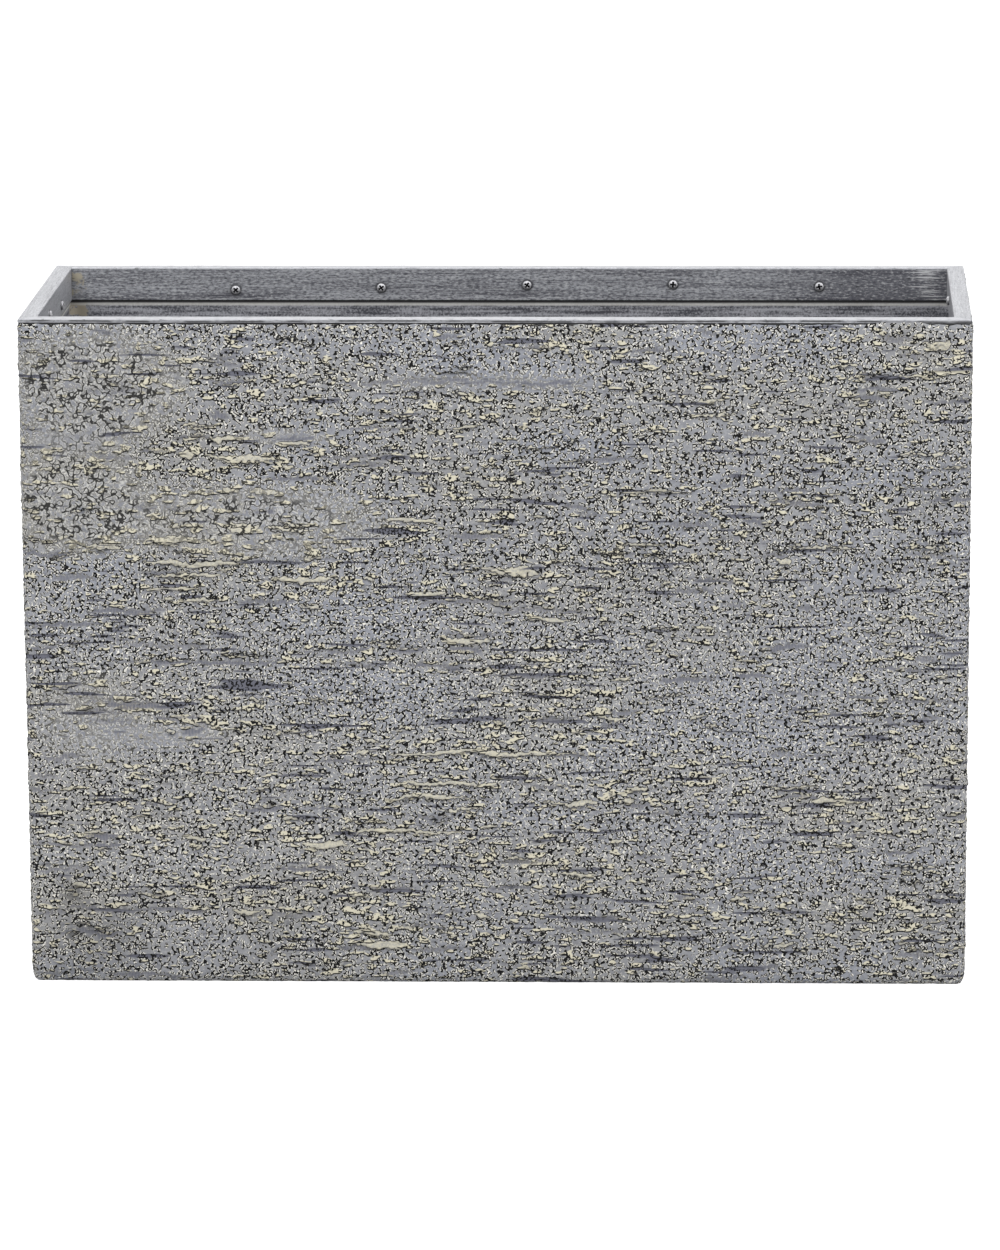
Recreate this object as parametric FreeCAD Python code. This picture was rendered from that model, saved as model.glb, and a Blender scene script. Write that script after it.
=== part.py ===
import FreeCAD
import Part

import math
import os
from collections import namedtuple

# A tall rectangular trough planter: one moulded fibre-clay shell, capped by a rim of
# four folded sheet-metal rails that are mitred at the corners and screwed to the inside
# of the walls, with two rubber plugs in the drain holes of the floor.
# Millimetres. X runs along the trough, the front faces -Y, and Z is up from the ground.

# Overall size, which the rim sets
rim_length = 700.0
rim_depth = 290.0
overall_height = 500.0

# Clay shell
wall_thickness = 11.5
floor_thickness = 14.0
draft_inset = 3.0  # how far each wall leans in from its top to the ground
outer_edge_radius = 7.0  # upright corners and the edge round the base
inner_edge_radius = 8.0  # upright corners and the cove round the floor
shoulder_relief = 5.0  # square corners reach this far below the rim's legs

# Folded sheet rim
sheet_thickness = 1.2
leg_drop = 25.0
lip_drop = 2.8
lip_groove = 0.6  # open joint between the lip and the face of the clay below it
seat_gap = 0.2  # between the sheet and the clay it hugs
mitre_gap = 0.3  # between two rails at a corner

# Pan-head screws that hold the rim's legs to the walls
head_radius = 3.3
head_height = 2.3
shank_radius = 1.75
tip_cover = 2.2  # clay left between a screw's tip and the outside of the wall
recess_span = 4.0
recess_width = 0.9
recess_depth = 1.3
clearance_hole_gap = 0.2
pilot_hole_gap = 0.1
pilot_hole_spare = 0.3  # how much deeper than the tip a pilot hole goes

# Screw rows, marked out by hand. A row splits its leg into equal spaces and then sits a
# little off centre. Each screw has its own height over the row's line.
screw_edge = 10.3  # from the lower edge of the leg up to the row's line
long_row_shift = -14.5
long_row_heights = (0.2, 1.8, 1.3, -0.8, -2.6)
end_row_shift = -4.0
end_row_heights = (-2.8, 2.3)

# Drain holes and their rubber plugs
drain_spacing = 340.0
drain_radius = 12.5
plug_gap = 0.3  # between a plug's shank and its hole
plug_flange_overlap = 7.5
plug_flange_thickness = 3.0
plug_shortfall = 2.0  # the shank stops this far above the ground

overcut = 2.0  # how far cutting tools pass the face they open
level_tolerance = 1e-6

Side = namedtuple("Side", "name length reach turn row_shift row_heights")
sides = (
    Side("front", rim_length, rim_depth / 2, 0.0, long_row_shift, long_row_heights),
    Side("right", rim_depth, rim_length / 2, 90.0, end_row_shift, end_row_heights),
    Side("back", rim_length, rim_depth / 2, 180.0, long_row_shift, long_row_heights),
    Side("left", rim_depth, rim_length / 2, 270.0, end_row_shift, end_row_heights),
)

x_axis = FreeCAD.Vector(1, 0, 0)
y_axis = FreeCAD.Vector(0, 1, 0)
z_axis = FreeCAD.Vector(0, 0, 1)
centre = FreeCAD.Vector(0, 0, 0)


def lean_in(z):
    """How far a wall has leant in at height z, counted from the top of the clay."""
    return draft_inset * (clay_top - z) / clay_top


# Places and fits that follow from the sizes above
clay_top = overall_height - sheet_thickness
leg_bottom = overall_height - leg_drop
rebate_bottom = overall_height - lip_drop - lip_groove
sheet_and_gap = sheet_thickness + seat_gap
rim_width = lean_in(leg_bottom) + wall_thickness + sheet_and_gap
shank_length = sheet_and_gap + wall_thickness - tip_cover


def turned(shape, side):
    """A copy of a shape that was made on the front side, turned to another side."""
    placed = shape.copy()
    placed.rotate(centre, z_axis, side.turn)
    return placed


def closed_face(points):
    """A flat face with straight edges through the points."""
    return Part.Face(Part.makePolygon(points + points[:1]))


def drafted_block(low, high, inset):
    """A flat-sided block whose walls follow the lean of the clay, a set distance inside it."""
    low_x = rim_length / 2 - lean_in(low) - inset
    low_y = rim_depth / 2 - lean_in(low) - inset
    high_x = rim_length / 2 - lean_in(high) - inset
    high_y = rim_depth / 2 - lean_in(high) - inset
    block = Part.makeWedge(-low_x, low, -low_y, -high_y, -high_x, low_x, high, low_y, high_y, high_x)
    block.rotate(centre, x_axis, 90)
    return block


def rounded_block(low, high, inset, radius):
    """A drafted block with its upright corners and its lower edges rounded."""
    block = drafted_block(low, high, inset)
    edges = [e for e in block.Edges if min(v.Z for v in e.Vertexes) < low + level_tolerance]
    return block.makeFillet(radius, edges)


def screw_seats(side):
    """Where each screw head of a side bears on its leg, as if the side were the front."""
    leg_length = side.length - 2 * rim_width
    spaces = len(side.row_heights) + 1
    seats = []
    for number, height in enumerate(side.row_heights, start=1):
        x = leg_length * (number / spaces - 0.5) + side.row_shift
        z = leg_bottom + screw_edge + height
        seats.append(FreeCAD.Vector(x, rim_width - side.reach, z))
    return seats


def drain_places():
    """Centre of each drain hole on the ground, by name."""
    half = drain_spacing / 2
    return {"left": FreeCAD.Vector(-half, 0, 0), "right": FreeCAD.Vector(half, 0, 0)}


def lip_rebate():
    """The step round the top of the clay that the rim's lip fits into."""
    low = FreeCAD.Vector(-rim_length / 2 - overcut, -rim_depth / 2 - overcut, rebate_bottom)
    step = overcut + sheet_and_gap
    height = clay_top + overcut - rebate_bottom
    block = Part.makeBox(rim_length + 2 * overcut, rim_depth + 2 * overcut, height, low)
    neck_low = low + FreeCAD.Vector(step, step, -overcut)
    neck_length = rim_length - 2 * sheet_and_gap
    neck_depth = rim_depth - 2 * sheet_and_gap
    neck = Part.makeBox(neck_length, neck_depth, height + 2 * overcut, neck_low)
    return block.cut(neck)


def clay_shell():
    """The moulded shell with its floor, its seats for the rim, and all its holes."""
    shell = rounded_block(0.0, clay_top, 0.0, outer_edge_radius)
    pocket = rounded_block(floor_thickness, clay_top + overcut, wall_thickness, inner_edge_radius)
    shoulders = drafted_block(leg_bottom - shoulder_relief, clay_top + overcut, wall_thickness)
    tools = [pocket, shoulders, lip_rebate()]
    for place in drain_places().values():
        start = place - z_axis * overcut
        tools.append(Part.makeCylinder(drain_radius, floor_thickness + 2 * overcut, start, z_axis))
    pilot_depth = shank_length + pilot_hole_spare
    for side in sides:
        for seat in screw_seats(side):
            hole = Part.makeCylinder(shank_radius + pilot_hole_gap, pilot_depth, seat, -y_axis)
            tools.append(turned(hole, side))
    return shell.cut(tools)


def rail_section(side):
    """Section of a folded rail: outer lip, top and inner leg, with round outer bends."""
    outer = -side.reach
    inner = rim_width - side.reach
    t = sheet_thickness
    top = overall_height
    lip_bottom = top - lip_drop
    slant = t * math.sqrt(0.5)

    def point(y, z):
        return FreeCAD.Vector(0, y, z)

    lip_bend = Part.Arc(
        point(outer, top - t),
        point(outer + t - slant, top - t + slant),
        point(outer + t, top),
    )
    leg_bend = Part.Arc(
        point(inner - t, top),
        point(inner - t + slant, top - t + slant),
        point(inner, top - t),
    )
    inside = [
        point(inner, leg_bottom),
        point(inner - t, leg_bottom),
        point(inner - t, top - t),
        point(outer + t, top - t),
        point(outer + t, lip_bottom),
        point(outer, lip_bottom),
        point(outer, top - t),
    ]
    edges = [
        lip_bend.toShape(),
        Part.makeLine(point(outer + t, top), point(inner - t, top)),
        leg_bend.toShape(),
        Part.makeLine(point(inner, top - t), inside[0]),
    ]
    edges += [Part.makeLine(a, b) for a, b in zip(inside, inside[1:])]
    return Part.Face(Part.Wire(edges))


def rim_rail(side):
    """One rail of the rim, mitred at both ends, with a clearance hole for each screw."""
    section = rail_section(side)
    section.translate(x_axis * (-side.length / 2))
    bar = section.extrude(x_axis * side.length)
    half = side.length / 2 - mitre_gap / 2 * math.sqrt(2)
    width = rim_width + overcut
    plan = [
        FreeCAD.Vector(-half, -side.reach, 0),
        FreeCAD.Vector(half, -side.reach, 0),
        FreeCAD.Vector(half - width, -side.reach + width, 0),
        FreeCAD.Vector(-half + width, -side.reach + width, 0),
    ]
    mitred = bar.common(closed_face(plan).extrude(z_axis * (overall_height + overcut)))
    holes = []
    for seat in screw_seats(side):
        start = seat + y_axis * overcut
        depth = sheet_thickness + 2 * overcut
        holes.append(Part.makeCylinder(shank_radius + clearance_hole_gap, depth, start, -y_axis))
    return turned(mitred.cut(holes), side)


def pan_head_screw():
    """A screw that points along -Y from its head's bearing face, with a cross recess."""
    outline = [
        FreeCAD.Vector(0, head_height, 0),
        FreeCAD.Vector(head_radius, head_height, 0),
        FreeCAD.Vector(head_radius, 0, 0),
        FreeCAD.Vector(shank_radius, 0, 0),
        FreeCAD.Vector(shank_radius, -shank_length, 0),
        FreeCAD.Vector(0, -shank_length, 0),
    ]
    blank = closed_face(outline).revolve(centre, y_axis, 360)
    floor_of_recess = head_height - recess_depth
    slots = []
    for span_x, span_z in ((recess_span, recess_width), (recess_width, recess_span)):
        corner = FreeCAD.Vector(-span_x / 2, floor_of_recess, -span_z / 2)
        slots.append(Part.makeBox(span_x, head_height, span_z, corner))
    return blank.cut(slots)


def rim_screws(side):
    """All the screws of one rail, each a solid of its own."""
    screws = []
    for seat in screw_seats(side):
        screw = pan_head_screw()
        screw.translate(seat)
        screws.append(turned(screw, side))
    return Part.makeCompound(screws)


def drain_plug(place):
    """A rubber plug that is pushed down into its hole until its flange meets the floor."""
    flange_radius = drain_radius + plug_flange_overlap
    flange_top = floor_thickness + plug_flange_thickness
    plug_radius = drain_radius - plug_gap
    outline = [
        FreeCAD.Vector(0, 0, flange_top),
        FreeCAD.Vector(flange_radius, 0, flange_top),
        FreeCAD.Vector(flange_radius, 0, floor_thickness),
        FreeCAD.Vector(plug_radius, 0, floor_thickness),
        FreeCAD.Vector(plug_radius, 0, plug_shortfall),
        FreeCAD.Vector(0, 0, plug_shortfall),
    ]
    plug = closed_face(outline).revolve(centre, z_axis, 360)
    plug.translate(place)
    return plug


def build():
    """Every piece of the planter, by name."""
    pieces = {"clay_shell": clay_shell()}
    for side in sides:
        pieces[f"rim_rail_{side.name}"] = rim_rail(side)
        pieces[f"rim_screws_{side.name}"] = rim_screws(side)
    for name, place in drain_places().items():
        pieces[f"drain_plug_{name}"] = drain_plug(place)
    return pieces


os.makedirs("parts", exist_ok=True)
for piece_name, piece in build().items():
    piece.exportStep(f"parts/{piece_name}.step")
    volume = sum(solid.Volume for solid in piece.Solids)
    print(f"{piece_name}: {len(piece.Solids)} solids, {volume:.0f} mm3, valid {piece.isValid()}")
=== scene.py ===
"""Looks of a trough planter: rough-cast clay walls, a folded sheet rim, its screws and two drain plugs.

Shapes are worked out in millimetres and put into the meshes in metres, in the frame of the solids.
X runs along the trough, the front faces -Y, and Z is up from the ground.
"""

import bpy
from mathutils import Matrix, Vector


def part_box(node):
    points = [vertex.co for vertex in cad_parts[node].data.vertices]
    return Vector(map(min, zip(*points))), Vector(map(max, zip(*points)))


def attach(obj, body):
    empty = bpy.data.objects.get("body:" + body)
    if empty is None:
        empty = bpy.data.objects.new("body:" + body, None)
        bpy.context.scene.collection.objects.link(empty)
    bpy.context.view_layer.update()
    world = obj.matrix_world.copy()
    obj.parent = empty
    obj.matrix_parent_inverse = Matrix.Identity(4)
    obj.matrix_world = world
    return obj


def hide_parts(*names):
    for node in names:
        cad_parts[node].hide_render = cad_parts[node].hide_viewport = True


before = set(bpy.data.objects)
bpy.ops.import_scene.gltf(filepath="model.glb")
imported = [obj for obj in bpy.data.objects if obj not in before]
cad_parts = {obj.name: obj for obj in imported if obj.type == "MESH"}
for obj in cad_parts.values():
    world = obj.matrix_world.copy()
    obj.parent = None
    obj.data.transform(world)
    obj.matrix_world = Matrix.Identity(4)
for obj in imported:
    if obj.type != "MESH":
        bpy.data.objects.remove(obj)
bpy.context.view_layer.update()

import logging
import math
from collections.abc import Callable, Iterator, Mapping, Sequence
from dataclasses import dataclass, field
from enum import Enum
from functools import partial

import bpy
import numpy as np
from mathutils import Matrix

log = logging.getLogger("planter")
Array = np.ndarray
Span = tuple[float, float]
Ramp = tuple[float, ...]  # where it starts and ends, then what it gives there if not 0 and 1
Material = bpy.types.Material
Socket = bpy.types.NodeSocket
Sockets = Mapping[str, Socket]
Adder = Callable[..., Socket]  # adds a node to one tree
MM = 0.001
BODY = "planter"
BAKE_MAP = "OFBake"  # the name under which a finish can be laid out flat
SHARP_ANGLE = math.radians(32)
NOISE_MIDDLE = 0.5
EASED = {"interpolation_type": "SMOOTHSTEP"}  # a range with a gentle start and end
BLEND = {"data_type": "RGBA", "out": 2}  # a mix of two colours
SHARE, UNDER, OVER = 0, 6, 7  # the inputs of such a mix
WHITE = (1.0, 1.0, 1.0, 1.0)


class Side(Enum):
    """The four sides of the trough, by the turn in degrees that brings the front to them."""

    FRONT = 0
    RIGHT = 90
    BACK = 180
    LEFT = 270

    @property
    def label(self) -> str:
        """The side's name in small letters."""
        return self.name.lower()

    @property
    def is_long(self) -> bool:
        """True for the front and the back, which run along the trough."""
        return self in (Side.FRONT, Side.BACK)

    def turned(self, points: Array, back: bool = False) -> Array:
        """Turns points about the upright axis.

        Args:
            points: Places in an array whose last axis is X, Y, Z.
            back: True to go from this side to the front, False to come from the front.

        Returns:
            The turned places, in an array of the same shape.
        """
        angle = math.radians(-self.value if back else self.value)
        c, s = round(math.cos(angle)), round(math.sin(angle))
        return points @ np.array([[c, s, 0.0], [-s, c, 0.0], [0.0, 0.0, 1.0]])


def linear(hex_colour: str) -> tuple[float, float, float, float]:
    """Turns an sRGB hex colour to linear RGBA.

    Args:
        hex_colour: Six hex digits after a hash sign.

    Returns:
        Red, green, blue and an alpha of one.
    """
    shares = np.array([int(hex_colour[i : i + 2], 16) for i in (1, 3, 5)]) / 255.0
    values = np.where(shares <= 0.04045, shares / 12.92, ((shares + 0.055) / 1.055) ** 2.4)
    return (*values.tolist(), 1.0)


def smooth(low: float, high: float, values: Array) -> Array:
    """Rises from nought at low to one at high, along the cubic 3t^2 - 2t^3.

    Args:
        low: Where the rise starts.
        high: Where it ends.
        values: What is compared with the two.

    Returns:
        The rise at each value.
    """
    t = np.clip((values - low) / (high - low), 0.0, 1.0)
    return t * t * (3.0 - 2.0 * t)


def bell(values: Array) -> Array:
    """The bell curve exp(-v^2)."""
    return np.exp(-(values**2))


def box_mm(node: str) -> tuple[Array, Array]:
    """The two corners of a solid's box, in millimetres."""
    low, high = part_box(node)
    return np.array(low) / MM, np.array(high) / MM


def aimed(place: Sequence[float], right: Array, ahead: Array) -> Matrix:
    """The pose of a camera or lamp at a place, from the directions to its right and ahead of it."""
    pose = np.eye(4)
    pose[:3] = np.column_stack([right, np.cross(right, ahead), -ahead, place])
    return Matrix(pose.tolist())


def add_node(
    tree: bpy.types.NodeTree,
    kind: str,
    inputs: Mapping[str | int, object] | Sequence[object] = (),
    out: str | int = 0,
    **settings: object,
) -> Socket | None:
    """Adds a node, sets it up and links it.

    Args:
        tree: The tree that gets the node.
        kind: The node's type without its ShaderNode prefix.
        inputs: A value or an output socket for each input, by name or number, or in order.
        out: Name or number of the wanted output.
        settings: The node's own properties.

    Returns:
        The wanted output, if the node has any.
    """
    node = tree.nodes.new("ShaderNode" + kind)
    for name, value in settings.items():
        setattr(node, name, value)
    for name, value in inputs.items() if isinstance(inputs, Mapping) else enumerate(inputs):
        if isinstance(value, Socket):
            tree.links.new(value, node.inputs[name])
        else:
            node.inputs[name].default_value = value
    return node.outputs[out] if node.outputs else None


def new_tree(owner: Material | bpy.types.World) -> Adder:
    """Empties the node tree of a material or a world.

    Args:
        owner: What has the tree.

    Returns:
        What adds a node to it.
    """
    owner.use_nodes = True
    owner.node_tree.nodes.clear()
    return partial(add_node, owner.node_tree)


def new_material(name: str) -> tuple[Material, Adder]:
    """Starts a material: returns it, and what adds a node to it."""
    material = bpy.data.materials.new(name)
    return material, new_tree(material)


@dataclass
class Shape:
    """A mesh in the making, with its places in millimetres."""

    points: Array
    corners: Array
    counts: Array
    values: dict[str, Array] = field(default_factory=dict)
    uv: Array | None = None
    normals: Array | None = None

    def piece(self, name: str, material: Material, body: str, slot: str) -> bpy.types.Object:
        """Makes the object, dresses it and lets it ride on a body.

        Args:
            name: The piece's name.
            material: Its finish.
            body: The body that it moves with.
            slot: The record's slot that the finish belongs to. Not used.

        Returns:
            The finished object.
        """
        mesh = bpy.data.meshes.new(name)
        mesh.vertices.add(len(self.points))
        mesh.vertices.foreach_set("co", (self.points * MM).astype(np.float32).ravel())
        mesh.loops.add(len(self.corners))
        mesh.polygons.add(len(self.counts))
        starts = np.concatenate([[0], np.cumsum(self.counts)[:-1]])
        mesh.polygons.foreach_set("loop_start", starts.astype(np.int32))
        mesh.polygons.foreach_set("vertices", self.corners.astype(np.int32))
        for label, numbers in self.values.items():
            wide = numbers.ndim == 2
            store = mesh.attributes.new(label, "FLOAT_VECTOR" if wide else "FLOAT", "POINT")
            store.data.foreach_set("vector" if wide else "value", numbers.astype(np.float32).ravel())
        if self.uv is not None:
            layer = mesh.uv_layers.new(name=BAKE_MAP)
            layer.uv.foreach_set("vector", self.uv.astype(np.float32).ravel())
        mesh.update(calc_edges=True)
        mesh.validate()
        mesh.shade_smooth()
        if self.normals is None:
            mesh.set_sharp_from_angle(angle=SHARP_ANGLE)
        else:
            mesh.normals_split_custom_set_from_vertices(self.normals.tolist())
        mesh.materials.append(material)
        made = bpy.data.objects.new(name, mesh)
        bpy.context.scene.collection.objects.link(made)
        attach(made, body)
        log.info("%s: %d points, %d faces", name, len(self.points), len(self.counts))
        return made


def capped_tube(rows: int, columns: int) -> tuple[Array, Array, Array]:
    """Faces of a tube: its rows close on themselves, and its first and last columns are capped.

    Point (row, column) has the number row times columns plus column. A quad joins two
    neighbouring rows and two neighbouring columns. The flat map spreads the rows upwards and
    the columns sideways, with a narrow band for the row that closes the tube and for each cap.

    Args:
        rows: Points round the tube.
        columns: Points along it.

    Returns:
        The corners' point numbers, the corners of each face, and a map place for each corner.
    """
    band, margin, flat, round_part = 8, 0.01, 0.3, 0.6
    number = np.arange(rows * columns).reshape(rows, columns)
    above = np.roll(number, -1, axis=0)
    quads = np.stack([number[:, :-1], number[:, 1:], above[:, 1:], above[:, :-1]], axis=-1)
    corners = np.concatenate([quads.ravel(), number[:, 0], number[::-1, -1]])
    counts = np.concatenate([np.full(rows * (columns - 1), 4), [rows, rows]])
    u = np.linspace(2 * margin, 1 - 2 * margin, columns)
    v = np.append(np.arange(rows) / (rows - 1 + band), 1.0)
    low = np.meshgrid(v[:-1], u[:-1], indexing="ij")
    high = np.meshgrid(v[1:], u[1:], indexing="ij")
    places = [(low[1], low[0]), (high[1], low[0]), (high[1], high[0]), (low[1], high[0])]
    quad_map = np.stack([np.stack(place, axis=-1) for place in places], axis=2).reshape(-1, 2)
    bulge = margin * (flat + round_part * np.sin(np.linspace(0.0, math.pi, rows)))
    first = np.stack([bulge, v[:-1]], axis=-1)
    last = np.stack([1 - bulge, v[:-1]], axis=-1)[::-1]
    return corners, counts, np.concatenate([quad_map, first, last])


def turned_solid(radii: Array, heights: Array, around: int) -> Shape:
    """A solid of revolution about the upright axis, closed by a pole at each end.

    Point (k, j) of the grid is (r_k cos a_j, r_k sin a_j, h_k), with a_j in equal steps.

    Args:
        radii: The profile's radii from the top to the foot, without the poles.
        heights: Their heights, with a first and a last one more for the two poles.
        around: Points round each ring.

    Returns:
        The solid, centred on the axis.
    """
    angle = np.linspace(0.0, 2 * math.pi, around, endpoint=False)
    level = np.broadcast_to(heights[1:-1, None], (len(radii), around))
    rings = np.stack([radii[:, None] * np.cos(angle), radii[:, None] * np.sin(angle), level], axis=-1)
    poles = np.array([[0.0, 0.0, heights[0]], [0.0, 0.0, heights[-1]]])
    number = np.arange(rings.shape[0] * around).reshape(-1, around)
    beside = np.roll(number, -1, axis=1)
    quads = np.stack([number[:-1], number[1:], beside[1:], beside[:-1]], axis=-1)
    top = np.full(around, number.size)
    crown = np.stack([top, number[0], beside[0]], axis=-1)
    sole = np.stack([top + 1, beside[-1], number[-1]], axis=-1)
    points = np.concatenate([rings.reshape(-1, 3), poles])
    corners = np.concatenate([quads.ravel(), crown.ravel(), sole.ravel()])
    counts = np.concatenate([np.full((len(radii) - 1) * around, 4), np.full(2 * around, 3)])
    return Shape(points, corners, counts)


@dataclass
class NoiseSheet:
    """Seeded noise on a sheet of points that is wrapped round the planter.

    Attributes:
        rows: Points from the ground up.
        columns: Points round the planter.
        step: Millimetres between points.
        seed: Where the random numbers start.
    """

    rows: int
    columns: int
    step: float
    seed: int

    def __post_init__(self) -> None:
        """Starts the random numbers."""
        self.dice = np.random.default_rng(self.seed)

    def waves(self) -> tuple[Array, Array]:
        """Waves per millimetre of each term of the sheet's transform, upwards and along."""
        return np.fft.fftfreq(self.rows, self.step)[:, None], np.fft.rfftfreq(self.columns, self.step)[None]

    def band(self, along: float, up: float, spread: float) -> Array:
        """White noise of which only the waves near one length are kept.

        Each wave is weighed by a bell curve of the logarithm of its frequency over the wanted one.

        Args:
            along: Wanted length of a wave along the wall.
            up: Wanted length of a wave up the wall.
            spread: Width of the bell curve.

        Returns:
            Noise with a mean of nought and a spread of one.
        """
        white = self.dice.standard_normal((self.rows, self.columns))
        rise, run = self.waves()
        least = 1e-9  # keeps the logarithm finite
        ratio = np.maximum(np.hypot(rise * up, run * along), least)
        weight = np.exp(-0.5 * (np.log(ratio) / spread) ** 2)
        noise = np.fft.irfft2(np.fft.rfft2(white) * weight, s=white.shape)
        return noise / noise.std()

    def blurred(self, values: Array, reach: float) -> Array:
        """The values averaged under a bell curve.

        Args:
            values: A sheet of values.
            reach: The bell curve's width in millimetres.

        Returns:
            The averaged sheet.
        """
        rise, run = self.waves()
        weight = np.exp(-2.0 * (math.pi * reach) ** 2 * (rise**2 + run**2))
        return np.fft.irfft2(np.fft.rfft2(values) * weight, s=values.shape)


@dataclass(frozen=True)
class Stroke:
    """One mark of the trowel, a lens that tapers to both ends. Millimetres on the wall."""

    along: float
    up: float
    length: float
    thick: float
    strength: float = 1.0
    tilt: float = 0.0


@dataclass(frozen=True)
class Scatter:
    """Marks at random places: how many, and the least and greatest length and thickness."""

    count: int
    lengths: Span
    thick: Span
    strengths: Span = (0.6, 1.0)
    skew: Span = (1.2, 1.8)  # of the lengths, towards the short ones
    tilt: float = 0.012
    margin: float = 4.0  # from the edges of the wall


@dataclass(frozen=True)
class Patch:
    """A soft round region of the wall, with its centre, its two reaches and its strength."""

    along: float
    up: float
    reach_along: float
    reach_up: float
    strength: float


@dataclass(frozen=True)
class Recipe:
    """A value of the coat: a start plus so much of each sheet, kept between two limits.

    A key of several names stands for the product of those sheets.
    """

    start: float
    shares: Mapping[str, float]
    limits: Span = (-math.inf, math.inf)

    def mixed(self, sheets: Mapping[str, Array]) -> Array:
        """The start plus the weighed sheets, clipped to the limits."""
        total = self.start
        for names, share in self.shares.items():
            total = total + share * math.prod(sheets[name] for name in names.split())
        return np.clip(total, *self.limits)


@dataclass(frozen=True)
class RoughCastClay:
    """Fibre clay, cast and then dragged with a trowel, washed with thin grey and cream paint.

    The drag leaves crumbs with broken creases between them all over, curled folds where it
    tore the skin, smooth slate streaks where the trowel pressed, and beads along their edges that
    caught the cream. The creases and folds are painted near black as shade, with a painted
    highlight beside them, and hollows and the marks' edges get painted shade too. It gives the
    eye a dry, gritty, salt-and-pepper grey.

    A ramp named after a mark says between which values of its noise, or of the wall, it fades.
    """

    cool: str = "#91949C"
    warm: str = "#999790"
    # painted highlight beside the creases and folds
    pale: str = "#F0EDE3"
    dull: str = "#72747C"
    cream: str = "#C6C1AE"
    slate: str = "#60616B"
    # near black: painted shade in creases, folds, hollows and along the marks' edges
    crease: str = "#060608"
    crumb_mm: float = 2.3
    gap_mm: float = 2.4
    cloud_mm: float = 7.0
    dust_mm: float = 1.5
    lump_mm: float = 5.4
    bead_mm: Span = (10.0, 3.6)  # along and up
    stroke_mm: Span = (52.0, 4.4)
    edge_mm: float = 0.9  # how far the painted shadow under a bead or along a stroke's upper edge reaches
    tick_mm: float = 2.3  # from one tick of the trowel's chatter to the next
    crumb_height_mm: float = 0.5
    relief: float = 0.8
    line: Ramp = (0.07, 0.115, 1.0, 0.0)  # a crease's painted shade, off the noise's middle
    skin: Ramp = (0.12, 0.21, 1.0, 0.0)  # the painted highlight beside it
    # a fold's painted shade
    fold: Ramp = (0.03, 0.066, 0.95, 0.0)
    fold_highlight: Ramp = (0.075, 0.14, 0.5, 0.0)  # the painted highlight beside a fold
    dash: Ramp = (0.45, 0.49)
    gritty: Ramp = (0.2, 0.75)
    torn: Ramp = (0.38, 0.46)
    curled: Ramp = (0.08, 0.5)
    curled_grit: Ramp = (0.0, 1.0, 1.0, 0.5)  # grit left where the skin is curled
    tick: Ramp = (-0.2, 0.8, 1.0, 0.7)
    dim: Ramp = (0.3, 0.6, 0.55, 0.0)
    dusty: Ramp = (0.35, 0.65, 0.0, 0.45)
    bead: Ramp = (0.715, 0.76)
    stroke: Ramp = (0.645, 0.705)
    mark_detail: float = 1.2
    # how dark the painted shadow along a stroke's upper edge is
    brow_dark: float = 0.35
    ragged: Ramp = (0.3, 0.7, -0.15, 0.15)
    pour: Ramp = (0.46, 0.56)
    thinned: Ramp = (0.35, 0.6, 0.35, 0.9)
    shore: Ramp = (0.07, 0.16, 1.0, 0.0)  # the painted shade round a bead, off its level
    shore_level: float = 0.38
    near_bead: Ramp = (0.1, 0.2)
    roughness: Ramp = (0.0, 1.0, 0.92, 0.62)  # of the grit and of a slate streak
    specular: float = 0.3

    def material(self) -> Material:
        """Builds the finish.

        Returns:
            A material that reads the wall's own values for cream, wash, drag, slate, rough, tone,
            hollow and swirl.
        """
        material, node = new_material("fibre clay, rough cast and washed")
        place = node("TexCoord", out="Object")
        names = ("cream", "wash", "drag", "slate", "rough", "tone", "hollow", "swirl")
        value = {name: node("Attribute", out="Fac", attribute_name=name) for name in names}
        noises = {
            "crumb": (self.crumb_mm, 0.6),
            "gap": (self.gap_mm, 0.0),
            "cloud": (self.cloud_mm, 2.0),
            "dust": (self.dust_mm, 1.0),
            "lump": (self.lump_mm, 1.0),
        }
        fine = {
            name: node("TexNoise", {"Vector": place, "Scale": 1 / (size * MM), "Detail": detail})
            for name, (size, detail) in noises.items()
        }
        mask = self._marks(node, place, value)
        dark, lit = self._creases(node, value, fine)
        creamy, shore = self._poured(node, value["cream"], fine)
        creamy = node("Math", (mask["bead"], creamy), operation="MAXIMUM")
        spot = node("SeparateXYZ", (place,)).node.outputs
        along = node("Math", (spot["X"], spot["Y"]), operation="ADD")
        beat = node("Math", (along, 2 * math.pi / (self.tick_mm * MM)), operation="MULTIPLY")
        ticks = node("MapRange", (node("Math", (beat,), operation="SINE"), *self.tick))
        slaty = node("Math", (value["slate"], ticks), operation="MULTIPLY")
        slaty = node("Math", (mask["stroke"], slaty), operation="MAXIMUM")
        # painted shadow under each small bead and along each stroke's upper edge
        under = node("Math", (mask["over bead"], mask["bead"]), operation="SUBTRACT")
        brow = node("Math", (mask["stroke"], mask["over stroke"]), operation="SUBTRACT")
        brow = node("Math", (brow, self.brow_dark), operation="MULTIPLY")
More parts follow.
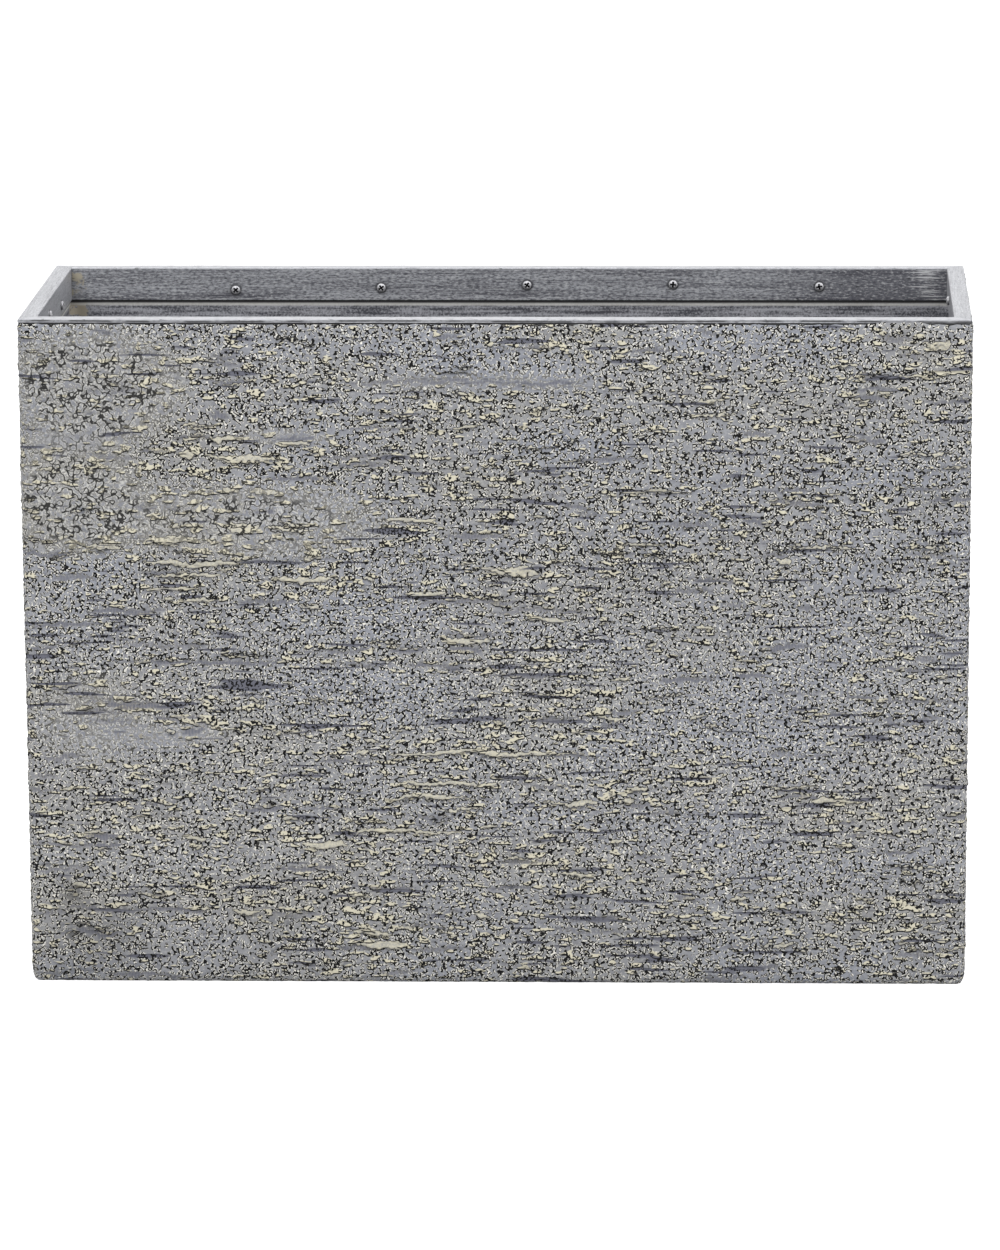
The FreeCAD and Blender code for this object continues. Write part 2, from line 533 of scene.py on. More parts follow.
        # the dark share: painted shade in hollows, round beads, under beads and along strokes' upper edges,
        # with the darker patches near the ground
        for other in (value["hollow"], shore, under, brow):
            dark = node("Math", (dark, other), operation="MAXIMUM")
        body = linear(self.cool)
        for share, colour in (
            (value["tone"], self.warm),
            (node("MapRange", (fine["cloud"], *self.dim)), self.dull),
            # painted highlight
            (lit, self.pale),
            (node("MapRange", (fine["dust"], *self.dusty)), self.dull),
            (creamy, self.cream),
            (slaty, self.slate),
            # painted shade
            (dark, self.crease),
        ):
            body = node("Mix", {SHARE: share, UNDER: body, OVER: linear(colour)}, **BLEND)
        height = node("Math", (fine["dust"], fine["cloud"]), operation="ADD")
        height = node("Math", (height, mask["bead"]), operation="ADD")
        height = node("Math", (height, dark), operation="SUBTRACT")
        deep = {"Height": height, "Distance": self.crumb_height_mm * MM, "Strength": self.relief}
        surface = {
            "Base Color": body,
            "Roughness": node("MapRange", (value["slate"], *self.roughness)),
            "Normal": node("Bump", deep),
            "Specular IOR Level": self.specular,
        }
        node("OutputMaterial", {"Surface": node("BsdfPrincipled", surface)})
        return material

    def _marks(self, node: Adder, place: Socket, value: Sockets) -> dict[str, Socket]:
        """Small beads and strokes: flat noises, each drawn twice, once in place and once shifted up.

        Args:
            node: What adds a node to the finish.
            place: Places in the planter's frame.
            value: The wall's own values.

        Returns:
            The shares of bead, over bead, stroke and over stroke.
        """
        mask = {}
        for name, (wide, tall), more, span in (
            ("bead", self.bead_mm, value["wash"], self.bead),
            ("stroke", self.stroke_mm, value["drag"], self.stroke),
        ):
            scale = (1 / (wide * MM), 1 / (wide * MM), 1 / (tall * MM))
            for label, shift in ((name, 0.0), (f"over {name}", self.edge_mm)):
                shifted = {"Vector": place, "Scale": scale, "Location": (0.0, 0.0, shift / tall)}
                laid = node("Mapping", shifted)
                noise = node("TexNoise", {"Vector": laid, "Scale": 1.0, "Detail": self.mark_detail})
                chance = node("Math", (noise, more), operation="ADD")
                mask[label] = node("MapRange", (chance, *span), **EASED)
        return mask

    def _creases(self, node: Adder, value: Sockets, fine: Sockets) -> list[Socket]:
        """Painted shade in creases between crumbs and in folds of curled skin, and highlight beside both.

        A crease or a fold runs where a noise crosses its middle value. A second noise breaks it
        into dashes. The dark is painted shade, and the pale skin beside it is a painted highlight, as
        if crumbs caught the light there.

        Args:
            node: What adds a node to the finish.
            value: The wall's own values.
            fine: The fine noises.

        Returns:
            The shares of the painted shade and of the painted highlight.
        """
        off = {}
        for name in ("crumb", "lump"):
            off[name] = node("Math", (fine[name], NOISE_MIDDLE), operation="SUBTRACT")
            off[name] = node("Math", (off[name],), operation="ABSOLUTE")
        curl = node("MapRange", (value["swirl"], *self.curled))
        torn = node("MapRange", (fine["cloud"], *self.torn))
        torn = node("Math", (torn, curl), operation="MULTIPLY")
        drawn = node("MapRange", (fine["gap"], *self.dash), **EASED)
        for ramp in ((value["rough"], *self.gritty), (curl, *self.curled_grit)):
            drawn = node("Math", (drawn, node("MapRange", ramp)), operation="MULTIPLY")
        shares = []
        for crease, fold in ((self.line, self.fold), (self.skin, self.fold_highlight)):
            dashes = node("MapRange", (off["crumb"], *crease), **EASED)
            dashes = node("Math", (dashes, drawn), operation="MULTIPLY")
            folds = node("MapRange", (off["lump"], *fold))
            folds = node("Math", (folds, torn), operation="MULTIPLY")
            shares.append(node("Math", (dashes, folds), operation="MAXIMUM"))
        return shares

    def _poured(self, node: Adder, cream: Socket, fine: Sockets) -> tuple[Socket, Socket]:
        """The larger beads: cream up to a ragged edge, unevenly thick, with painted shade round it.

        Args:
            node: What adds a node to the finish.
            cream: The wall's own value for cream.
            fine: The fine noises.

        Returns:
            The shares of the cream and of the painted shade round it.
        """
        rag = node("MapRange", (fine["crumb"], *self.ragged))
        poured = node("Math", (cream, rag), operation="ADD")
        filled = node("MapRange", (poured, *self.pour))
        uneven = node("MapRange", (fine["dust"], *self.thinned))
        filled = node("Math", (filled, uneven), operation="MULTIPLY")
        # painted shade in a line round each bead
        shore = node("Math", (poured, self.shore_level), operation="SUBTRACT")
        shore = node("Math", (shore,), operation="ABSOLUTE")
        shore = node("MapRange", (shore, *self.shore))
        near = node("MapRange", (cream, *self.near_bead))
        return filled, node("Math", (shore, near), operation="MULTIPLY")


# Noises of the coat: length of a wave along and up the wall, and its spread
BANDS = {
    "crumb": (4.4, 3.8, 0.28),
    "grit": (2.9, 2.7, 0.2),
    "pebble": (10.0, 6.5, 0.35),
    "ripple": (80.0, 5.0, 0.45),
    "lump": (34.0, 22.0, 0.5),
    "drift": (230.0, 70.0, 0.5),
    "wander": (300.0, 160.0, 0.6),
    "tremble": (9.0, 12.0, 0.5),
    "sway": (45.0, 30.0, 0.4),
}
UPPER_EDGE = (18.0, 900.0, 0.6)
# Marks listed one by one on the front, from its middle line and up from the ground
SLATE_MARKS = (
    Stroke(-330, 271, 30, 3.0), Stroke(-335, 254, 22, 2.6), Stroke(-276, 282, 62, 3.4),
    Stroke(-212, 243, 128, 3.0), Stroke(-320, 225, 26, 3.4), Stroke(-264, 210, 44, 3.6),
    Stroke(-64, 254, 30, 4.4), Stroke(-22, 254, 28, 3.6), Stroke(-44, 241, 40, 3.2),
    Stroke(-174, 132, 30, 3.4), Stroke(-142, 87, 52, 3.4), Stroke(-244, 55, 52, 3.4),
    Stroke(216, 255, 44, 2.6), Stroke(142, 231, 44, 3.0), Stroke(272, 220, 24, 2.6),
    Stroke(250, 205, 24, 2.6), Stroke(338, 252, 20, 2.8), Stroke(-30, 453, 184, 2.4, 0.7),
    Stroke(-82, 419, 52, 2.0, 0.8),
)
CREAM_MARKS = (
    Stroke(-222, 412, 16, 6.0, 1.0, 0.2), Stroke(-200, 411, 34, 3.6, 1.0, -0.05),
    Stroke(-184, 396, 58, 4.4, 1.0, -0.09), Stroke(-226, 399, 14, 6.0), Stroke(-170, 372, 22, 6.0),
    Stroke(-186, 345, 26, 7.0), Stroke(-152, 343, 36, 4.6), Stroke(-240, 336, 40, 6.0),
    Stroke(-290, 330, 30, 5.0), Stroke(-222, 318, 86, 4.8), Stroke(-232, 309, 60, 4.4, 1.0, -0.03),
    Stroke(-140, 306, 50, 4.0), Stroke(-146, 408, 26, 4.0), Stroke(10, 312, 48, 4.0),
    Stroke(-62, 350, 40, 4.0), Stroke(-52, 296, 34, 5.0), Stroke(-20, 260, 40, 4.6),
    Stroke(40, 276, 36, 3.6), Stroke(-8, 175, 150, 3.8), Stroke(-36, 152, 80, 3.8),
    Stroke(-50, 141, 66, 3.6), Stroke(56, 137, 44, 3.6), Stroke(-72, 116, 94, 4.0),
    Stroke(-128, 106, 34, 6.0), Stroke(-84, 30, 36, 7.0), Stroke(326, 480, 18, 6.0, 0.9),
    Stroke(296, 458, 76, 3.2, 0.9), Stroke(316, 400, 44, 3.6, 0.8), Stroke(240, 330, 52, 3.2, 0.8),
    Stroke(318, 330, 40, 3.4, 0.8), Stroke(160, 430, 44, 3.2, 0.8), Stroke(120, 372, 60, 3.2, 0.8),
    Stroke(220, 150, 40, 3.4, 0.8), Stroke(310, 90, 44, 4.0, 0.8),
)
CRATERS = (
    Patch(-274, 451, 9, 6, 1.0), Patch(-328, 429, 6, 5, -0.8), Patch(-296, 436, 7, 4, -0.5),
    Patch(-304, 462, 8, 5, 0.5), Patch(-322, 366, 8, 6, -0.7), Patch(-306, 352, 7, 5, -0.6),
    Patch(640, 300, 8, 6, 0.8), Patch(1010, 390, 9, 6, 0.9),
)
SMEAR = Patch(296, 0, 26, 0, 1.6)  # where the coat's upper edge was smeared over the lip
# Regions of the walls, from the front's middle line and up from the ground
REGIONS = {
    "swirl": (
        Patch(-295, 450, 55, 36, 0.9), Patch(-312, 365, 42, 34, 0.8), Patch(-180, 350, 90, 26, 0.6),
        Patch(-300, 200, 50, 40, 0.35), Patch(900, 300, 90, 70, 0.8), Patch(480, 420, 60, 40, 0.7),
    ),
    "slick": (
        Patch(-312, 408, 42, 9, 0.9), Patch(-150, 412, 38, 7, 0.8), Patch(-20, 452, 110, 9, 0.5),
        Patch(-230, 190, 60, 10, 0.5), Patch(560, 380, 50, 10, 0.8), Patch(1100, 220, 80, 12, 0.7),
    ),
    "creamed": (
        Patch(-190, 350, 130, 70, 0.22), Patch(-230, 120, 120, 70, 0.22), Patch(-90, 40, 60, 25, 0.3),
        Patch(320, 50, 60, 50, 0.2), Patch(0, 160, 120, 50, 0.15), Patch(900, 140, 160, 90, 0.25),
    ),
    "dragged": (
        Patch(-230, 235, 140, 70, 0.06), Patch(0, 220, 160, 60, 0.03), Patch(60, 20, 120, 40, 0.03),
    ),
    "warmed": (
        Patch(-240, 110, 150, 110, 0.45), Patch(-250, 380, 110, 60, 0.2), Patch(330, 60, 80, 90, 0.3),
        Patch(150, 430, 160, 60, 0.15), Patch(950, 120, 200, 110, 0.4),
    ),
    # darker patches near the ground
    "darker_low": (
        Patch(-318, 68, 9, 9, 0.55), Patch(-300, 30, 34, 34, 0.28), Patch(-170, 50, 26, 20, 0.15),
        Patch(500, 40, 40, 40, 0.25),
    ),
}
# What the coat's values are mixed from
ROUGH = Recipe(0.95, {"drift": 0.06, "slick": -0.7, "swirl": -0.1}, (0.1, 1.0))
WASH = Recipe(0.08, {"drift": 0.02, "wander": 0.015, "creamed": 0.25}, (0.0, 0.2))
DEPTH = Recipe(
    0.8,
    {"rough crumb": 0.14, "rough grit": 0.07, "pebble": 0.12, "swirl pebble": 0.10, "lump": 0.14}
    | {"swirl lump": 0.12, "ripple": 0.09, "slate": -0.40, "brow": 0.45, "bead": 0.55, "bead crumb": 0.15}
    | {"foot": -0.3, "scratch": -0.25, "bowl": -0.9, "brim": 0.8},
)
# What the hollow value darkens with the crease colour: painted shade in hollows under the coat's average,
# under beads, over slate strokes and in scratches, and the darker patches near the ground
SHADOWS = {"rough shade": 0.25, "foot": 0.75, "brow gap": 0.45, "scratch": 0.4, "darker_low": 1.0}
RECIPES = {
    "depth": Recipe(0.0, {"depth": 1.0}, (0.15, 2.4)),
    "cream": Recipe(0.0, {"bead": 0.6, "bead wash": 2.0}, (0.0, 0.9)),
    "wash": Recipe(0.0, {"wash": 1.0, "ridge": 0.03}),
    "drag": Recipe(0.0, {"drift": 0.012, "wander": 0.01, "dragged": 0.6}, (-0.1, 0.1)),
    "slate": Recipe(0.0, {"slate": 0.9, "slick": 0.25, "bowl": 0.5}, (0.0, 1.0)),
    "swirl": Recipe(-0.08, {"swirl": 1.3}, (0.0, 1.0)),
    "rough": Recipe(0.0, {"rough": 1.0}),
    "tone": Recipe(0.3, {"wander": 0.14, "drift": 0.10, "warmed": 1.0}, (0.0, 1.0)),
    "hollow": Recipe(0.0, SHADOWS, (0.0, 0.9)),
}


@dataclass
class ClayWalls:
    """The cast outside of the shell: a gritty coat, laid over its four walls and its base edge.

    A place on the coat is a place on the shell's smooth outside, moved outwards by the coat's
    depth there. The columns go round the planter from the front left corner, and the rows go up,
    first round the base edge and then up the wall. Sizes are in millimetres.
    """

    edge_radius: float = 7.0
    draft: float = 3.0
    step: float = 1.15
    groove_below_top: float = 2.8  # from the top of the clay down to the edge of the coat
    bury: float = 1.0  # the coat's back lies this deep in the shell
    warps: Span = (0.5, 0.9)  # how far trembling and swaying shift the marks
    scratch_warp: float = 0.5
    slates: Scatter = Scatter(420, (14.0, 95.0), (1.8, 3.6))
    beads: Scatter = Scatter(480, (7.0, 44.0), (2.0, 4.2))
    scratches: Scatter = Scatter(900, (14.0, 110.0), (0.9, 1.5))
    slate_smooths: float = 0.8  # the share of the grit that a mark takes away
    bead_smooths: float = 0.75
    hollow_reach: float = 3.2  # a hollow lies under the coat's average over this reach
    shade: Span = (1.6, 3.0)
    ridge: Span = (0.8, 2.2)
    ridge_ripple: float = 0.3
    brow_gap: Span = (-0.5, 0.5)
    edge_rag: float = 0.25
    edge_reach: float = 10.0  # how far down the upper edge's raggedness reaches
    thin_edge: Span = (0.6, 2.4)  # share of the depth lost at the upper edge, and over what height
    long_pieces: int = 4
    short_pieces: int = 2
    seed: int = 41

    def __post_init__(self) -> None:
        """Takes the shell's size from the frame and lays out the sheet of points."""
        self.half_length, self.half_depth, self.top = box_mm("clay_shell")[1]
        self.height = self.top - self.groove_below_top
        self._lay_columns()
        self._lay_rows()
        self.noise = NoiseSheet(len(self.rise), len(self.heading), self.step, self.seed)

    def _lay_columns(self) -> None:
        """For each column: its corner's share of the half sizes, its heading, and its run."""
        shares, headings, self.starts = [], [], []
        bend = max(2, round(self.edge_radius * math.pi / 4 / self.step))
        turn = 45  # degrees from a wall to the middle of a corner
        into, out_of = np.linspace(-turn, 0, bend + 1)[:-1], np.linspace(0, turn, bend + 1)[1:-1]
        for side in Side:
            half = self.half_length if side.is_long else self.half_depth
            straight = round(2 * (half - self.edge_radius) / self.step)
            t = np.concatenate([np.full(bend, -1.0), np.linspace(-1, 1, straight + 1), np.ones(bend - 1)])
            lean = np.concatenate([into, np.zeros(straight + 1), out_of])
            self.starts.append(sum(len(h) for h in headings))
            share = np.stack([t, -np.ones_like(t), np.zeros_like(t)], axis=-1)
            shares.append(side.turned(share)[:, :2])
            headings.append(np.radians(lean + side.value))
        self.share = np.concatenate(shares)
        self.heading = np.concatenate(headings)
        self.starts.append(len(self.heading))
        front_middle = (self.starts[0] + self.starts[1]) / 2
        self.run = (np.arange(len(self.heading)) - front_middle) * self.step

    def _lay_rows(self) -> None:
        """For each row: its height, its step in from the wall, and its slope from the level."""
        bend = max(4, round(self.edge_radius * math.pi / 2 / self.step))
        dip = np.linspace(-math.pi / 2, 0, bend + 1)
        count = round((self.height - self.edge_radius) / self.step)
        wall = np.linspace(self.edge_radius, self.height, count)
        self.rise = np.concatenate([self.edge_radius * (1 + np.sin(dip)), wall[1:], wall[-1:]])
        self.inset = np.concatenate([self.edge_radius * (1 - np.cos(dip)), np.zeros(count)])
        self.slope = np.concatenate([dip, np.zeros(count)])

    def _apart(self, along: float) -> Array:
        """How far each column lies from a place along the front, the short way round."""
        whole = len(self.run) * self.step
        return (self.run - along + whole / 2) % whole - whole / 2

    def _soft_sum(self, patches: tuple[Patch, ...]) -> Array:
        """Bell-shaped patches added up over the sheet."""
        total = np.zeros((len(self.rise), len(self.run)))
        for patch in patches:
            across = self._apart(patch.along) / patch.reach_along
            upright = (self.rise - patch.up) / patch.reach_up
            total += patch.strength * np.exp(-(upright[:, None] ** 2) - across[None] ** 2)
        return total

    def _strokes(self, scatter: Scatter) -> Iterator[Stroke]:
        """Trowel marks at random places, more short ones than long ones.

        Args:
            scatter: How many marks, and of what size.

        Yields:
            One mark at a time.
        """
        dice = self.noise.dice
        whole = len(self.run) * self.step
        least, most = scatter.lengths
        for _ in range(scatter.count):
            yield Stroke(
                along=dice.uniform(0.0, whole),
                up=dice.uniform(scatter.margin, self.height - scatter.margin),
                length=least * (most / least) ** dice.beta(*scatter.skew),
                thick=dice.uniform(*scatter.thick),
                strength=dice.uniform(*scatter.strengths),
                tilt=dice.normal(0.0, scatter.tilt),
            )

    def _press(self, marks: Sequence[Stroke], warp: Array) -> tuple[Array, Array, Array]:
        """Draws marks on the sheet.

        A mark's half thickness at a share t of its half length is (1 - t^2)^0.7 of its greatest.
        Its fill falls from one on its middle line to nought at that half thickness. Its brow is a
        narrow bell just over the upper edge, and its foot one just under the lower edge. Heights
        are warped by noise, so edges come out ragged.

        Args:
            marks: The marks.
            warp: Millimetres by which each place's height is shifted.

        Returns:
            The marks' fills, brows and feet, each a sheet from nought to about one.
        """
        taper, tip, spare = 0.7, 0.1, 3.0
        soft_edge = (1.15, 0.55)
        (brow_over, brow_width), (foot_under, foot_width) = (0.8, 0.9), (0.4, 0.8)
        fill, brow, foot = (np.zeros(warp.shape) for _ in range(3))
        for mark in marks:
            apart = self._apart(mark.along)
            columns = np.flatnonzero(np.abs(apart) < mark.length / 2)
            rows = np.flatnonzero(np.abs(self.rise - mark.up) < 2 * mark.thick + spare)
            if not len(columns) or not len(rows):
                continue
            window = np.ix_(rows, columns)
            t = apart[columns] / (mark.length / 2)
            half = mark.thick / 2 * (1 - t**2) ** taper + tip
            height = self.rise[rows, None] + warp[window] - mark.up - mark.tilt * apart[columns]
            fade = (1 - t**2) * mark.strength
            for sheet, drawn in (
                (fill, smooth(*soft_edge, np.abs(height / half)) * mark.strength),
                (brow, bell((height - half - brow_over) / brow_width) * fade),
                (foot, bell((height + half + foot_under) / foot_width) * fade),
            ):
                sheet[window] = np.maximum(sheet[window], drawn)
        return fill, brow, foot

    def _fields(self) -> dict[str, Array]:
        """Works out the coat's depth and the values that its finish reads.

        The depth is a mean plus crumbs, lumps and ripples, less the trowel's strokes, plus the
        beads along them. Shade is where it lies under its own average, and ridges over it.

        Returns:
            Sheets by name: depth, cream, wash, drag, slate, swirl, rough, tone and hollow.
        """
        sheets = {name: self.noise.band(*band) for name, band in BANDS.items()}
        sheets |= {name: self._soft_sum(patches) for name, patches in REGIONS.items()}
        warp = self.warps[0] * sheets["tremble"] + self.warps[1] * sheets["sway"]
        slate, brow, _ = self._press([*SLATE_MARKS, *self._strokes(self.slates)], warp)
        bead, _, foot = self._press([*CREAM_MARKS, *self._strokes(self.beads)], warp)
        scratch, _, _ = self._press([*self._strokes(self.scratches)], self.scratch_warp * warp)
        bead *= 1 - slate
        bowl, brim = self._craters()
        rough = ROUGH.mixed(sheets) * (1 - self.slate_smooths * slate) * (1 - self.bead_smooths * bead)
        sheets |= {"slate": slate, "brow": brow, "bead": bead, "foot": foot, "scratch": scratch}
        sheets |= {"bowl": bowl, "brim": brim, "rough": rough, "wash": WASH.mixed(sheets)}
        depth = DEPTH.mixed(sheets)
        local = depth - self.noise.blurred(depth, self.hollow_reach)
        local /= local.std()
        sheets |= {
            "depth": depth,
            "shade": smooth(*self.shade, -local),
            "ridge": smooth(*self.ridge, local + self.ridge_ripple * sheets["ripple"]),
            "gap": smooth(*self.brow_gap, sheets["crumb"]),
        }
        return {name: recipe.mixed(sheets) for name, recipe in RECIPES.items()}

    def _craters(self) -> tuple[Array, Array]:
        """Burst bubbles in the clay: a bell-shaped bowl, and a ring-shaped brim at its reach.

        Returns:
            The bowls and the brims, each a sheet from nought to about one.
        """
        bowl_width, brim_width = 0.6, 0.25
        bowl, brim = (np.zeros((len(self.rise), len(self.run))) for _ in range(2))
        for spot in CRATERS:
            across = self._apart(spot.along)[None] / spot.reach_along
            upright = (self.rise - spot.up)[:, None] / spot.reach_up
            share = np.hypot(across, upright)
            bowl += spot.strength * bell(share / bowl_width)
            brim += abs(spot.strength) * bell((share - 1.0) / brim_width)
        return bowl, brim

    def _shaped(self, depth: Array) -> Array:
        """Places of the coat, for a depth at each of them.

        A column stands at its share of the half sizes less the edge radius, and its heading h
        points along (sin h, -cos h). From there a place lies the radius less the row's step in,
        plus the depth times the cosine of the row's slope, along the heading. Its height is the
        row's, plus the depth times the sine of the slope.

        Args:
            depth: The coat's depth, row by row.

        Returns:
            Places in millimetres, by row and column.
        """
        lean = self.draft * (self.top - self.rise) / self.top
        half = np.stack([self.half_length - lean, self.half_depth - lean], axis=-1) - self.edge_radius
        out = np.stack([np.sin(self.heading), -np.cos(self.heading)], axis=-1)
        radius = self.edge_radius - self.inset[:, None] + depth * np.cos(self.slope)[:, None]
        flat = self.share[None] * half[:, None] + out[None] * radius[..., None]
        rise = self.rise[:, None] + depth * np.sin(self.slope)[:, None]
        return np.concatenate([flat, rise[..., None]], axis=-1)

    def _edged(self, depth: Array) -> Array:
        """Thins the coat to its upper and lower edges and buries its first and last rows."""
        least_dip, most_share = 0.05, 0.9
        lost, reach = self.thin_edge
        dip = np.sin(-self.slope)[:, None]
        room = self.edge_radius * (1 / np.maximum(dip, least_dip) - 1)
        edged = np.minimum(depth, most_share * np.where(dip > least_dip, room, np.inf))
        edged = edged * (1 - lost * smooth(self.height - reach, self.height, self.rise)[:, None])
        edged[[0, -1]] = -self.bury
        return edged

    def _smear(self) -> Array:
        """How far the coat's upper edge has been smeared over the rim's lip, for each column."""
        full = 0.6  # share of the reach that is smeared in full
        share = np.abs(self._apart(SMEAR.along)) / SMEAR.reach_along
        return SMEAR.strength * smooth(1.0, full, share)[None]

    def build(self, material: Material) -> None:
        """Makes the coat, in pieces that share their edges.

        Args:
            material: The coat's finish.
        """
        fields = self._fields()
        places = self._shaped(self._edged(fields.pop("depth")))
        ragged = self.edge_rag * self.noise.band(*UPPER_EDGE)[:1] + self._smear()
        places[..., 2] += ragged * smooth(self.height - self.edge_reach, self.height, self.rise)[:, None]
        around = np.roll(places, -1, axis=1) - np.roll(places, 1, axis=1)
        normals = np.cross(around, np.gradient(places, axis=0))
        normals /= np.linalg.norm(normals, axis=-1, keepdims=True)
        for side, start, end in zip(Side, self.starts, self.starts[1:]):
            pieces = self.long_pieces if side.is_long else self.short_pieces
            bounds = np.linspace(start, end, pieces + 1).round().astype(int)
            for part, (first, last) in enumerate(zip(bounds[:-1], bounds[1:]), start=1):
                columns = np.arange(first, last + 1) % len(self.run)
                corners, counts, uv = capped_tube(len(self.rise), len(columns))
                shape = Shape(
                    points=places[:, columns].reshape(-1, 3),
                    corners=corners,
                    counts=counts,
                    values={name: sheet[:, columns].ravel() for name, sheet in fields.items()},
                    uv=uv,
                    normals=normals[:, columns].reshape(-1, 3),
                )
                shape.piece(f"clay_{side.label}_{part}", material, BODY, "clay")


@dataclass(frozen=True)
class BrushedClayWash:
    """The shell's bare inside: smooth moulded clay, brushed with thin grey paint near the top.

    The brush leaves level streaks under the rim. Further down the bare clay is dull, with clouds
    of dust. Clay is smeared in one corner. Under the rim's lip and under the legs the clay is
    painted near black as shade, with a painted highlight just below the legs' shade.
    """

    paint: str = "#94959B"
    streak: str = "#3C3D44"
    bare: str = "#737375"
    dust: str = "#8F8E8A"
    smear: str = "#989080"
    # painted highlight just below the painted shadow under the legs
    edge: str = "#C8C7C2"
    # near black: painted shade under the rim's legs and under its lip
    grime: str = "#161619"
    paint_mm: Span = (100.0, 50.0)  # under the top: where the paint ends, and where it is full
    paint_rag_mm: float = 120.0
    streak_mm: Span = (41.66667, 2.2)  # along and up
    cloud_mm: float = 41.66667
    grain_mm: float = 1.428571
    blot_mm: float = 6.25
    seam_mm: Span = (-3.2, -1.92)  # from the legs' lower edge: the painted shadow under them
    hidden_mm: Span = (0.5, 1.0)  # where that painted shadow ends behind the legs
    edge_mm: Span = (-5.1, -3.96)  # a painted highlight just below that shadow
    edge_share: float = 0.65
    joint_mm: Span = (-3.4, -3.06)  # from the top: the painted shadow under the rim's lip
    smeared_mm: Span = (-336.0, 132.0)  # the smeared corner, in plan
    smear_mm: Span = (8.0, 26.0)
    smear_shift: Span = (0.1, -0.2)
    stain: Ramp = (0.54, 0.62)
    brushed: Ramp = (0.7, 1.0)
    grain_share: float = 0.7
    dusted: Ramp = (0.35, 0.7)
    roughness: Ramp = (0.0, 1.0, 0.9, 0.6)  # of the bare clay and of the paint
    streak_height_mm: float = 0.25
    relief: float = 0.5

    def material(self, top: float, legs: float) -> Material:
        """Builds the finish.

        Args:
            top: Height of the shell's upper edge.
            legs: Height of the lower edge of the rim's legs.

        Returns:
            A material that reads places in the planter's frame.
        """
        material, node = new_material("moulded clay, brushed with thin paint")
        place = node("TexCoord", out="Object")
        height = node("SeparateXYZ", (place,), out="Z")
        wide, tall = (1 / (size * MM) for size in self.streak_mm)
        level = node("Mapping", {"Vector": place, "Scale": (wide, wide, tall)})
        streaks = node("TexNoise", {"Vector": level, "Scale": 1.0, "Detail": 4.0})
        clouds, grains, blots = (
            node("TexNoise", {"Vector": place, "Scale": 1 / (size * MM), "Detail": detail})
            for size, detail in ((self.cloud_mm, 6.0), (self.grain_mm, 2.0), (self.blot_mm, 4.0))
        )
        ragged = node("Math", (clouds, self.paint_rag_mm * MM, height), operation="MULTIPLY_ADD")
        painted = node("MapRange", (ragged, *(top - fall * MM for fall in self.paint_mm)), **EASED)
        speckled = node("Math", (grains, self.grain_share, streaks), operation="MULTIPLY_ADD")
        brushed = node("MapRange", (speckled, *self.brushed))
        paint = node("Mix", {SHARE: brushed, UNDER: linear(self.streak), OVER: linear(self.paint)}, **BLEND)
        dusted = node("MapRange", (clouds, *self.dusted))
        clay = node("Mix", {SHARE: dusted, UNDER: linear(self.bare), OVER: linear(self.dust)}, **BLEND)
        body = node("Mix", {SHARE: painted, UNDER: clay, OVER: paint}, **BLEND)
        corner = (*(step * MM for step in self.smeared_mm), legs)
        apart = node("VectorMath", (place, corner), out="Value", operation="DISTANCE")
        close = node("MapRange", (apart, *(reach * MM for reach in self.smear_mm), *self.smear_shift))
        stained = node("Math", (blots, close), operation="ADD")
        # a painted highlight and the painted shadow under the legs, and painted shadow under the lip
        edge, under, shown, joint = (
            node("MapRange", (height, *(start + rise * MM for rise in rises), *ends))
            for start, rises, ends in (
                (legs, self.edge_mm, (0.0, self.edge_share)),
                (legs, self.seam_mm, (0.0, 1.0)),
                (legs, self.hidden_mm, (1.0, 0.0)),
                (top, self.joint_mm, (0.0, 1.0)),
            )
        )
        shaded = node("Math", (under, shown), operation="MULTIPLY")
        for share, colour in (
            (node("MapRange", (stained, *self.stain), **EASED), self.smear),
            # painted highlight
            (edge, self.edge),
            # painted shade under the legs and under the lip
            (node("Math", (shaded, joint), operation="MAXIMUM"), self.grime),
        ):
            body = node("Mix", {SHARE: share, UNDER: body, OVER: linear(colour)}, **BLEND)
        relief = node("Math", (streaks, grains), operation="ADD")
        deep = {"Height": relief, "Distance": self.streak_height_mm * MM, "Strength": self.relief}
        surface = {
            "Base Color": body,
            "Roughness": node("MapRange", (painted, *self.roughness)),
            "Normal": node("Bump", deep),
        }
        node("OutputMaterial", {"Surface": node("BsdfPrincipled", surface)})
        return material


